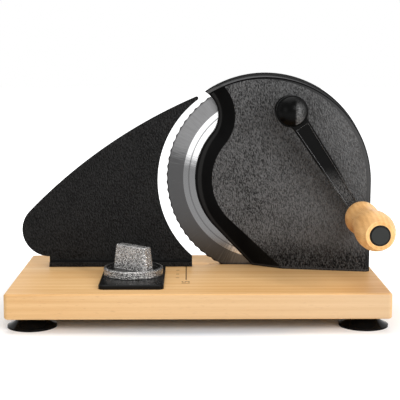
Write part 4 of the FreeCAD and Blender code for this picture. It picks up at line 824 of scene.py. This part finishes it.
@dataclass(frozen=True)
class TurnedCoat(SmoothCoat):
    """A coat over turned work: fine rings about an axis along Y, a dark outer ring, and a painted
    highlight on its right where given.
    """

    centre: Pair = (0.0, 0.0)
    ring_pitch: float = 0.9 * MM
    dark_from: float = 1.0
    dark_fade: float = 0.3 * MM
    dark: Colour = (0.004, 0.004, 0.004)
    # A painted highlight on what looks to the right, less where it is steep or looks up.
    painted_highlight: Colour | None = None
    sheen_reach: float = 1.0
    sheen_fade: float = 0.8 * MM
    sheen_right: Pair = (0.10, 0.26)
    sheen_steep: Pair = (0.42, 0.72)
    steep_share: float = 0.18
    sheen_top: Pair = (0.20, 0.62)
    top_share: float = 0.15
    mottle_scale: float = 700.0
    mottle_span: Pair = (0.36, 0.60)
    mottle_share: float = 0.25

    def marked_and_highlighted(self, graph: Graph, colour: Socket) -> Socket:
        """Darken the coat outside a radius, and lay a mottled painted highlight on its right.

        Args:
            graph: The node tree.
            colour: The plain coat's colour.

        Returns:
            The colour to use.
        """
        outside = graph.ranged(graph.reach(self.centre), self.dark_from,
                               self.dark_from + self.dark_fade)
        colour = graph.mixed(outside, colour, self.dark)
        if self.painted_highlight is None:
            return colour
        right, _, up = graph.sides(graph.facing())
        mottle = graph.noise(graph.place(), scale=self.mottle_scale)
        share = graph.times(
            graph.ranged(right, *self.sheen_right, smooth=True),
            graph.ranged(right, *self.sheen_steep, 1.0, self.steep_share),
            graph.ranged(up, *self.sheen_top, 1.0, self.top_share, smooth=True),
            graph.ranged(graph.reach(self.centre), self.sheen_reach,
                         self.sheen_reach + self.sheen_fade, 1.0, 0.0),
            graph.ranged(mottle, *self.mottle_span, self.mottle_share, 1.0))
        return graph.mixed(share, colour, self.painted_highlight)

    def skin(self, graph: Graph, skin: Socket) -> Socket:
        """The coat's relief with fine rings laid over it."""
        turns = graph.times(graph.reach(self.centre), math.tau / self.ring_pitch)
        return graph.weighed((0.6, graph.sums("SINE", turns)), (0.4, skin))


@dataclass(frozen=True)
class BareMetal:
    """Plated or cast metal with turning marks and a few scratches."""

    name: str
    colour: Colour
    dull: Colour
    roughness: float
    spread: Pair = (0.0, 0.14)
    cloud_scale: float = 160.0
    line_scale: Point = (2600, 260, 2600)
    line_depth: float = 0.02 * MM
    line_share: float = 0.35
    scratch_scale: Point = (1900, 90, 700)
    scratch_turn: Point = (15, 40, 25)
    scratch_span: Pair = (0.66, 0.74)
    scratch_share: float = 0.35
    soft_edge: float = 0.3 * MM

    def build(self) -> bpy.types.Material:
        """Make the material.

        Returns:
            The material.
        """
        graph = Graph(self.name)
        place = graph.place()
        cloud = graph.noise(place, scale=self.cloud_scale, detail=3.0)
        lines = graph.noise(graph.mapped(place, scale=self.line_scale), detail=3.0, rough=0.6)
        marks = graph.ranged(graph.noise(graph.mapped(
            place, scale=self.scratch_scale, turn=self.scratch_turn), detail=1.0),
            *self.scratch_span)
        wear_and_sheen = graph.weighed((0.5, cloud), (self.scratch_share, marks))
        dulled = graph.uneven(cloud, self.roughness, self.spread)
        graph.feed(graph.surface, {
            "Base Color": graph.mixed(wear_and_sheen, self.colour, self.dull), "Metallic": 1.0,
            "Roughness": graph.weighed((1.0, dulled), (0.15, marks)),
            "Normal": graph.raised(lines, self.line_depth, self.line_share,
                                   over=graph.rounded(self.soft_edge))})
        return graph.material


@dataclass(frozen=True)
class GroundSteel:
    """The blade's steel: polished middle, rolled ring, ground bevel and honed edge; painted
    reflection fans, painted shade at the ring.
    """

    name: str
    centre: Pair
    bevel_start: float
    edge_start: float
    ring: float
    # Painted reflection: each zone has a light and a dark tone, laid out in fans.
    polished: Colour = (0.78, 0.78, 0.785)
    shaded: Colour = (0.13, 0.13, 0.132)
    bevel: Colour = (0.066, 0.066, 0.067)
    bevel_light: Colour = (0.18, 0.18, 0.182)
    bevel_fade: float = 0.3 * MM
    edge: Colour = (0.03, 0.03, 0.03)
    edge_fade: float = 1.6 * MM
    # Painted shade in the groove at the ring.
    ring_fade: Pair = (0.3 * MM, 0.9 * MM)
    ring_shade_share: float = 0.75
    # Painted reflection: a dark patch on either side, this far round from the right, in radians,
    # light between.
    lean: float = 0.45
    turning_scale: float = 2600.0
    grinding_scale: float = 60.0
    fan_span: Pair = (0.10, 0.72)
    roughness: Pair = (0.20, 0.34)
    brushed: float = 0.55
    relief: float = 0.012 * MM
    relief_share: float = 0.5

    def build(self) -> bpy.types.Material:
        """Make the material.

        Returns:
            The material.
        """
        graph = Graph(self.name)
        reach, bearing = graph.reach(self.centre), graph.bearing(self.centre)
        turned = graph.node("ShaderNodeTexNoise", noise_dimensions="1D")
        graph.feed(turned, {"W": graph.times(reach, self.turning_scale), "Detail": 3.0,
                            "Roughness": 0.7})
        ground = graph.node("ShaderNodeTexNoise", noise_dimensions="2D")
        polar = graph.node("ShaderNodeCombineXYZ")
        graph.feed(polar, {"X": graph.times(bearing, self.grinding_scale),
                           "Y": graph.times(reach, self.grinding_scale)})
        graph.feed(ground, {"Vector": polar.outputs[0], "Scale": 1.0, "Detail": 4.0,
                            "Roughness": 0.65})
        turning, grinding = turned.outputs["Fac"], ground.outputs["Fac"]
        on_bevel = graph.ranged(reach, self.bevel_start - self.bevel_fade,
                                self.bevel_start + self.bevel_fade)
        on_edge = graph.ranged(reach, self.edge_start, self.edge_start + self.edge_fade)
        in_ring = graph.ranged(graph.sums("ABSOLUTE", graph.sums("SUBTRACT", reach, self.ring)),
                               *self.ring_fade, 1.0, 0.0)
        # Painted reflection: light and dark fans round the axis.
        fans = graph.sums("COSINE", graph.times(
            graph.sums("SUBTRACT", bearing, self.lean), 2.0))
        painted_shade_fans = graph.ranged(graph.weighed((1.0, fans), (0.30, grinding), (0.30, turning)),
                           *self.fan_span, smooth=True)
        flat_tone = graph.mixed(painted_shade_fans, self.polished, self.shaded)
        bevel_tone = graph.mixed(graph.ranged(graph.weighed((0.7, painted_shade_fans), (0.5, grinding)),
                                              0.2, 0.9), self.bevel_light, self.bevel)
        colour = graph.mixed(on_bevel, flat_tone, bevel_tone)
        # Painted shade in the ring's groove.
        colour = graph.mixed(graph.times(in_ring, self.ring_shade_share), colour, self.bevel)
        spin = graph.node("ShaderNodeTangent", direction_type="RADIAL", axis="Y")
        graph.feed(graph.surface, {
            "Base Color": graph.mixed(on_edge, colour, self.edge), "Metallic": 1.0,
            "Roughness": graph.ranged(on_bevel, 0.0, 1.0, *self.roughness),
            "Anisotropic": self.brushed, "Tangent": spin.outputs[0],
            "Normal": graph.raised(graph.weighed((0.6, turning), (0.4, grinding)),
                                   self.relief, self.relief_share)})
        return graph.material


@dataclass(frozen=True)
class BurntMark:
    """Marks burnt into the wood: a thin brown film with a patchy tone."""

    name: str
    colour: Colour
    faded: Colour
    patch_scale: Point = (180, 1500, 1500)
    patch_span: Pair = (0.35, 0.70)
    roughness: Pair = (0.5, 0.7)
    shine: float = 0.3
    relief: float = 0.02 * MM
    relief_share: float = 0.5

    def build(self) -> bpy.types.Material:
        """Make the material.

        Returns:
            The material.
        """
        graph = Graph(self.name)
        patch = graph.noise(graph.mapped(graph.place(), scale=self.patch_scale), detail=3.0)
        graph.feed(graph.surface, {
            "Base Color": graph.mixed(graph.ranged(patch, *self.patch_span), self.colour,
                                      self.faded),
            "Roughness": graph.ranged(patch, *NOISE_SPAN, *self.roughness),
            "Specular IOR Level": self.shine,
            "Normal": graph.raised(patch, self.relief, self.relief_share)})
        return graph.material


# ---------------------------------------------------------------- making pieces

def put_in_scene(name: str, data: bpy.types.ID) -> bpy.types.Object:
    """Make an object of its data and put it in the scene.

    Args:
        name: The object's name.
        data: Its mesh, curve, lamp or camera.

    Returns:
        The new object.
    """
    made = bpy.data.objects.new(name, data)
    bpy.context.scene.collection.objects.link(made)
    return made


def new_piece(name: str, mesh: bmesh.types.BMesh) -> bpy.types.Object:
    """Turn a finished mesh into an object of the scene.

    Args:
        name: The piece's name.
        mesh: Its mesh, which is used up.

    Returns:
        The new object.
    """
    bmesh.ops.remove_doubles(mesh, verts=mesh.verts, dist=WELD)
    bmesh.ops.recalc_face_normals(mesh, faces=mesh.faces)
    data = bpy.data.meshes.new(name)
    mesh.to_mesh(data)
    mesh.free()
    return put_in_scene(name, data)


def dress(piece: bpy.types.Object, material: bpy.types.Material) -> None:
    """Give a piece one material all over.

    Args:
        piece: The piece.
        material: Its material.
    """
    if not piece.material_slots:
        piece.data.materials.append(material)
    for slot in piece.material_slots:
        slot.material = material


# ---------------------------------------------------------------- sub-assemblies

class Slicer:
    """What the sub-assemblies share: the frame's nodes and a report of each piece."""

    def __init__(self, frame: dict) -> None:
        """Keep the frame's nodes.
        """
        self.nodes: dict[str, bpy.types.Object] = frame["nodes"]
        self.dressed: set[str] = set()

    def coat(self, material: bpy.types.Material, names: Iterable[str]) -> None:
        """Give the named parts of the frame a material.

        Args:
            material: The finish.
            names: The nodes that take it.
        """
        for name in names:
            dress(self.nodes[name], material)
            self.dressed.add(name)
            LOG.info("%s wears %s", name, material.name)

    def add(self, piece: bpy.types.Object, body: Body, slot: str) -> None:
        """Let a new piece ride on a body.

        Args:
            piece: The new piece, already in place.
            body: The body that carries it.
            slot: The material slot of the record that it belongs to; not used.
        """
        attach(piece, body.value)
        LOG.info("%s rides on %s", piece.name, body.value)


@dataclass
class BeechBoard:
    """The board, its suction cups and the burnt thickness scale."""

    top: float = 36.0 * MM
    line_x: float = -11.0 * MM
    line_from: float = -32.0 * MM
    line_to: float = 30.0 * MM
    line_width: float = 1.3 * MM
    dash_x: float = -19.3 * MM
    dash_length: float = 3.5 * MM
    dash_width: float = 2.0 * MM
    dashes: Sequence[float] = (12.0 * MM, -6.0 * MM, -23.0 * MM)
    figure: str = "15"
    figure_y: float = -44.0 * MM
    figure_size: float = 10.5 * MM
    figure_spacing: float = 1.15
    size_to_stroke: float = 40.0
    film: float = 0.03 * MM
    end_faces: int = 5
    wood: PlankWood = PlankWood(
        "oiled_beech_board", pale=(0.79, 0.515, 0.250), warm=(0.64, 0.35, 0.128),
        fleck=(0.46, 0.23, 0.09), grain=Grain.ALONG_BOARD, heart=(0.0, 0.045, -0.16),
        front_grey_share=(0.12, 0.55))
    rubber: SmoothCoat = SmoothCoat(
        "gloss_black_rubber", colour=(0.002, 0.002, 0.002), wear_and_sheen=(0.008, 0.008, 0.008),
        roughness=0.14, shine=0.05, grain=2.5 * MM)
    burn: BurntMark = BurntMark("burnt_scale", colour=(0.12, 0.062, 0.020),
                                faded=(0.24, 0.135, 0.050))

    def strip(self, name: str, middle: Pair, length: float, width: float,
              turned: bool) -> bpy.types.Object:
        """A thin strip of the scale, with round ends, on the board's top.

        Args:
            name: The piece's name.
            middle: Its middle in x and y.
            length: Its length, round ends included.
            width: Its width.
            turned: Whether it runs along Y; else it runs along X.

        Returns:
            The new piece.
        """
        radius = width / 2
        reach = length / 2 - radius
        mesh = bmesh.new()
        outline = []
        for end in (1, -1):
            for step in range(self.end_faces + 1):
                angle = math.pi * (step / self.end_faces - 0.5) + (0 if end == 1 else math.pi)
                along = end * reach + radius * math.cos(angle)
                aside = radius * math.sin(angle)
                x, y = (-aside, along) if turned else (along, aside)
                outline.append(mesh.verts.new((middle[0] + x, middle[1] + y,
                                               self.top + self.film)))
        top = mesh.faces.new(outline)
        sides = bmesh.ops.extrude_face_region(mesh, geom=[top])
        lowered = [item for item in sides["geom"] if isinstance(item, bmesh.types.BMVert)]
        bmesh.ops.translate(mesh, verts=lowered, vec=(0, 0, -2 * self.film))
        return new_piece(name, mesh)

    def number(self) -> bpy.types.Object:
        """The plain number under the scale's line, as a thin mesh.

        Returns:
            The new piece.
        """
        curve = bpy.data.curves.new("scale_figure_curve", "FONT")
        curve.body = self.figure
        curve.size = self.figure_size
        curve.space_character = self.figure_spacing
        curve.align_x, curve.align_y = "CENTER", "CENTER"
        curve.extrude = self.film
        curve.offset = self.figure_size / self.size_to_stroke
        writer = put_in_scene("scale_figure_curve", curve)
        bpy.context.view_layer.update()
        seen = writer.evaluated_get(bpy.context.evaluated_depsgraph_get())
        data = bpy.data.meshes.new_from_object(seen)
        bpy.data.objects.remove(writer)
        data.transform(Matrix.Translation((self.line_x, self.figure_y, self.top))
                       @ Matrix.Rotation(math.radians(90.0), 4, "Z"))
        return put_in_scene("scale_figure", data)

    def build(self, slicer: Slicer) -> None:
        """Dress the board and lay the scale on it.

        Args:
            slicer: The slicer being put together.
        """
        slicer.coat(self.wood.build(), ["base_board"])
        slicer.coat(self.rubber.build(), [f"foot_{end}_{side}" for end in ("front", "rear")
                                          for side in ("left", "right")])
        ink = self.burn.build()
        marks = [self.strip("scale_line", (self.line_x, (self.line_from + self.line_to) / 2),
                            self.line_to - self.line_from, self.line_width, turned=True)]
        for place, y in enumerate(self.dashes, start=1):
            marks.append(self.strip(f"scale_dash_{place}", (self.dash_x, y), self.dash_length,
                                    self.dash_width, turned=False))
        marks.append(self.number())
        for mark in marks:
            dress(mark, ink)
            slicer.add(mark, Body.BASE, "beech_board")


@dataclass
class GearHousing:
    """The cast housing in hammered enamel, and the bronze bushes."""

    slope: float = 10.8
    axis: Pair = BLADE_AXIS
    radius: float = 106.0 * MM
    rim: float = 4.6 * MM
    paint: HousingHammered = field(init=False)
    bronze: BareMetal = BareMetal("sintered_bronze", colour=(0.60, 0.36, 0.16),
                                  dull=(0.36, 0.21, 0.10), roughness=0.32)

    def __post_init__(self) -> None:
        """Work out which way the painted face looks."""
        lean = math.radians(self.slope)
        self.paint = HousingHammered(
            "hammered_housing_enamel", low=(0.014, 0.014, 0.0142), high=(0.135, 0.135, 0.136),
            smooth=(0.0025, 0.0025, 0.0025), dimple=(1.1 * MM, 1.1 * MM, 2.3 * MM),
            depth=0.85 * MM, roughness=0.30, shine=0.0, contrast=0.16, soft_edge=1.6 * MM,
            # Painted highlight along the housing's edges.
            wear_and_sheen=(0.035, 0.035, 0.035), wear_and_sheen_share=0.7, wear_and_sheen_width=2.2 * MM,
            face=(-math.sin(lean), -math.cos(lean), 0.0), centre=self.axis,
            rim_from=self.radius - self.rim)

    def build(self, slicer: Slicer) -> None:
        """Dress the housing."""
        slicer.coat(self.paint.build(), ["gear_housing"])
        slicer.coat(self.bronze.build(), ["crank_bush", "blade_bush"])


@dataclass
class Fence:
    """The guide fence."""

    paint: FaceHammered = FaceHammered(
        "hammered_fence_enamel", low=(0.001, 0.001, 0.001), high=(0.022, 0.022, 0.022),
        smooth=(0.003, 0.003, 0.003), dimple=(1.1 * MM, 1.1 * MM, 2.1 * MM), depth=0.80 * MM,
        roughness=0.30, shine=0.05, contrast=0.16)

    def build(self, slicer: Slicer) -> None:
        """Dress the fence."""
        slicer.coat(self.paint.build(), ["fence_plate"])


@dataclass
class Adjuster:
    """The silver thickness knob on its gloss black cover."""

    silver: DishHammered = DishHammered(
        "hammered_silver_enamel", low=(0.018, 0.017, 0.017), high=(0.58, 0.566, 0.552),
        smooth=(0.047, 0.045, 0.044), dimple=(0.92 * MM, 0.92 * MM, 1.05 * MM),
        depth=0.50 * MM, roughness=0.24, shine=0.5, metal=0.75, contrast=0.10,
        wear_and_sheen=(0.80, 0.79, 0.78), wear_and_sheen_share=0.6, floor=46.2 * MM, axis=(-61.5 * MM, -24.0 * MM))
    cover: SmoothCoat = SmoothCoat(
        "gloss_black_cover", colour=(0.004, 0.004, 0.004), wear_and_sheen=(0.012, 0.012, 0.012),
        roughness=0.18, shine=0.07)

    def build(self, slicer: Slicer) -> None:
        """Dress the knob and its cover."""
        slicer.coat(self.silver.build(), ["thickness_knob"])
        slicer.coat(self.cover.build(), ["adjuster_cover"])


@dataclass
class RoundBlade:
    """The serrated blade and its moulded wheel."""

    axis: Pair = BLADE_AXIS
    radius: float = 99.0 * MM
    bevel_width: float = 17.0 * MM
    edge_width: float = 2.2 * MM
    ring: float = 76.4 * MM
    wheel: SmoothCoat = SmoothCoat(
        "moulded_wheel", colour=(0.66, 0.64, 0.58), wear_and_sheen=(0.50, 0.48, 0.43), roughness=0.42,
        grain=0.8 * MM)
    steel: GroundSteel = field(init=False)

    def __post_init__(self) -> None:
        """Set out the steel's zones."""
        self.steel = GroundSteel("ground_blade_steel", centre=self.axis,
                                 bevel_start=self.radius - self.bevel_width,
                                 edge_start=self.radius - self.edge_width, ring=self.ring)

    def build(self, slicer: Slicer) -> None:
        """Dress the blade."""
        slicer.coat(self.steel.build(), ["slicing_blade"])
        slicer.coat(self.wheel.build(), ["blade_gear"])


@dataclass
class Crank:
    """The cast arm, its domed nut and the turned wooden handle."""

    # Dimpled and lighter low on the arm, smooth above; the lighter tone is partly painted light
    # where the curve catches it.
    paint: HeightHammered = HeightHammered(
        "crank_enamel", low=(0.004, 0.004, 0.004), high=(0.090, 0.090, 0.090),
        smooth=(0.002, 0.002, 0.002), dimple=(0.9 * MM, 0.9 * MM, 1.3 * MM),
        depth=0.45 * MM, roughness=0.30, shine=0.05, soft_edge=0.8 * MM,
        # Painted highlight along the arm's edges.
        wear_and_sheen=(0.38, 0.38, 0.38), wear_and_sheen_share=0.7, wear_and_sheen_width=0.5 * MM,
        smooth_at=142.0 * MM, dimpled_at=118.0 * MM)
    nut: TurnedCoat = TurnedCoat(
        "domed_nut_enamel", colour=(0.0008, 0.0008, 0.0008), wear_and_sheen=(0.004, 0.004, 0.004),
        roughness=0.20, shine=0.045, grain=1.0 * MM, grain_depth=0.03 * MM,
        # A painted highlight on the nut's right.
        centre=(90.7 * MM, 194.4 * MM), ring_pitch=1.3 * MM, painted_highlight=(0.115, 0.115, 0.115),
        sheen_reach=12.4 * MM)
    wood: PlankWood = PlankWood(
        "lacquered_handle_wood", pale=(0.85, 0.500, 0.205), warm=(0.54, 0.250, 0.075),
        fleck=(0.38, 0.17, 0.05), grain=Grain.ALONG_HANDLE, heart=(0.0, 0.17, 0.06),
        ring_pitch=4.2 * MM, roughness=0.30, edge_highlight=(0.88, 0.58, 0.27))
    plug: TurnedCoat = TurnedCoat(
        "handle_cap_plastic", colour=(0.022, 0.0235, 0.022), wear_and_sheen=(0.032, 0.032, 0.032),
        roughness=0.5, shine=0.12, grain=0.7 * MM, centre=(158.05 * MM, 92.67 * MM),
        dark_from=7.5 * MM)

    def build(self, slicer: Slicer) -> None:
        """Dress the crank and the handle.

        Args:
            slicer: The slicer being put together.
        """
        for finish, name in ((self.paint, "crank_arm"), (self.nut, "crank_cap"),
                             (self.wood, "handle_grip"), (self.plug, "handle_end_cap")):
            slicer.coat(finish.build(), [name])


@dataclass
class Fasteners:
    """All the rest, in plated steel: screws, shafts, pinions, bars, plates and washers."""

    zinc: BareMetal = BareMetal("zinc_plated_steel", colour=(0.66, 0.67, 0.68),
                                dull=(0.42, 0.42, 0.42), roughness=0.28)

    def build(self, slicer: Slicer) -> None:
        """Dress every part that has no finish yet."""
        left = sorted(set(slicer.nodes) - slicer.dressed)
        slicer.coat(self.zinc.build(), left)


# ---------------------------------------------------------------- studio

@dataclass(frozen=True)
class SoftBox:
    """A flat lamp that looks at a point, as wide and as tall as given."""

    name: str
    place: Point
    aim: Point
    width: float
    height: float
    power: float

    def build(self) -> None:
        """Hang the lamp."""
        lamp = bpy.data.lights.new(self.name, "AREA")
        lamp.shape = "RECTANGLE"
        lamp.size, lamp.size_y = self.width, self.height
        lamp.energy = self.power
        made = put_in_scene(self.name, lamp)
        made.location = self.place
        made.rotation_mode = "QUATERNION"
        made.rotation_quaternion = (Vector(self.aim) - Vector(self.place)).to_track_quat("-Z", "Y")


@dataclass
class Studio:
    """White floor, white surround, soft boxes and the camera."""

    floor_half: float = 6.0
    floor_cells: int = 8
    floor_roughness: float = 0.9
    floor_colour: Colour = (0.90, 0.90, 0.90)
    # The floor's own white: none near the object, a little further out, and all of it far
    # off.  Distances are from the middle, in metres, with X squeezed to suit the board.
    floor_lift: float = 0.18
    shadow_squeeze: float = 0.62
    shadow_reach: tuple[float, float, float] = (0.09, 0.15, 0.34)
    # Painted shade: a darker, cooler floor under the board, as far as its edge.
    shade_colour: Colour = (0.74, 0.81, 0.90)
    shade_reach: Pair = (0.088, 0.116)
    surround: float = 0.32
    camera_place: Point = (-0.0089, -1.0114, 0.2526)
    camera_pitch: float = 8.125
    camera_yaw: float = 0.648
    lens: float = 94.5
    sensor: float = 36.0
    camera_sees: Pair = (0.05, 50.0)
    lamps: Sequence[SoftBox] = (
        SoftBox("key_box", (0.55, -1.55, 0.95), (0.0, 0.0, 0.10), 0.50, 0.50, 9.5),
        SoftBox("strip_box", (1.05, -0.95, 0.62), (0.05, 0.0, 0.12), 0.14, 0.70, 12.4),
        SoftBox("top_box", (-0.10, 0.15, 1.40), (0.0, 0.0, 0.05), 1.2, 1.2, 12.5),
        SoftBox("fill_box", (-1.20, -1.10, 0.55), (0.0, 0.0, 0.10), 0.7, 0.7, 3.5),
    )

    def seen_by(self, tree: bpy.types.NodeTree, *kinds: str) -> Socket:
        """Tell rays of some kinds from the others.

        Args:
            tree: The node tree.
            *kinds: Names of the light path's outputs.

        Returns:
            1 for rays of these kinds, else 0.
        """
        path = tree.nodes.new("ShaderNodeLightPath")
        found = path.outputs[kinds[0]]
        for kind in kinds[1:]:
            both = tree.nodes.new("ShaderNodeMath")
            both.operation = "MAXIMUM"
            tree.links.new(found, both.inputs[0])
            tree.links.new(path.outputs[kind], both.inputs[1])
            found = both.outputs[0]
        return found

    def build_surround(self) -> None:
        """A white world that lights the object gently."""
        world = bpy.data.worlds.new("white_surround")
        bpy.context.scene.world = world
        world.use_nodes = True
        tree = world.node_tree
        nodes, links = tree.nodes, tree.links
        nodes.clear()
        light, white = nodes.new("ShaderNodeBackground"), nodes.new("ShaderNodeBackground")
        light.inputs["Strength"].default_value = self.surround
        for sky in (light, white):
            sky.inputs["Color"].default_value = (1, 1, 1, 1)
        blend, out = nodes.new("ShaderNodeMixShader"), nodes.new("ShaderNodeOutputWorld")
        seen = self.seen_by(tree, "Is Camera Ray", "Is Glossy Ray", "Is Transmission Ray")
        for source, target in ((seen, blend.inputs[0]), (light.outputs[0], blend.inputs[1]),
                               (white.outputs[0], blend.inputs[2]),
                               (blend.outputs[0], out.inputs["Surface"])):
            links.new(source, target)

    def build_floor(self) -> None:
        """A wide matt floor that keeps the object's shadow."""
        mesh = bmesh.new()
        bmesh.ops.create_grid(mesh, x_segments=self.floor_cells, y_segments=self.floor_cells,
                              size=self.floor_half)
        floor = new_piece("studio_floor", mesh)
        graph = Graph("studio_floor_paint")
        from_middle = graph.node("ShaderNodeVectorMath", operation="LENGTH")
        graph.join(graph.mapped(graph.place(), scale=(self.shadow_squeeze, 1, 1)),
                   from_middle.inputs[0])
        reach = from_middle.outputs["Value"]
        shade = graph.ranged(reach, *self.shade_reach, smooth=True)
        graph.feed(graph.surface, {
            "Base Color": graph.mixed(shade, self.shade_colour, self.floor_colour),
            "Roughness": self.floor_roughness, "Specular IOR Level": 0.0})
        near, middle, far = self.shadow_reach
        away = graph.sums(
            "ADD", graph.ranged(reach, near, middle, 0.0, self.floor_lift, smooth=True),
            graph.ranged(reach, middle, far, 0.0, 1.0 - self.floor_lift, smooth=True))
        seen = self.seen_by(graph.tree, "Is Camera Ray", "Is Glossy Ray")
        glow = graph.node("ShaderNodeEmission")
        graph.feed(glow, {"Color": (1, 1, 1, 1), "Strength": graph.times(seen, away)})
        both = graph.node("ShaderNodeAddShader")
        graph.feed(both, {0: graph.surface.outputs["BSDF"], 1: glow.outputs[0]})
        graph.join(both.outputs[0], graph.output.inputs["Surface"])
        dress(floor, graph.material)

    def build_camera(self) -> None:
        """The camera in front of the slicer, a little above it."""
        data = bpy.data.cameras.new("portrait_camera")
        data.lens, data.sensor_width = self.lens, self.sensor
        data.clip_start, data.clip_end = self.camera_sees
        camera = put_in_scene("portrait_camera", data)
        camera.location = self.camera_place
        camera.rotation_euler = (math.radians(90.0 - self.camera_pitch), 0.0,
                                 -math.radians(self.camera_yaw))
        bpy.context.scene.camera = camera

    def build(self) -> None:
        """Set up the whole studio."""
        self.build_surround()
        self.build_floor()
        for lamp in self.lamps:
            lamp.build()
        self.build_camera()
        bpy.context.scene.view_settings.view_transform = "Standard"


def clear_scene() -> None:
    """Take away whatever the empty file came with."""
    for left in list(bpy.data.objects):
        bpy.data.objects.remove(left)


def main() -> None:
    """Load the frame, dress every piece, and light the scene."""
    logging.basicConfig(level=logging.INFO, format="%(message)s")
    clear_scene()
    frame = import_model()
    slicer = Slicer(frame)
    for part in (BeechBoard(), GearHousing(), Fence(), Adjuster(), RoundBlade(), Crank(),
                 Fasteners()):
        part.build(slicer)
    Studio().build()


if __name__ == "__main__":
    main()
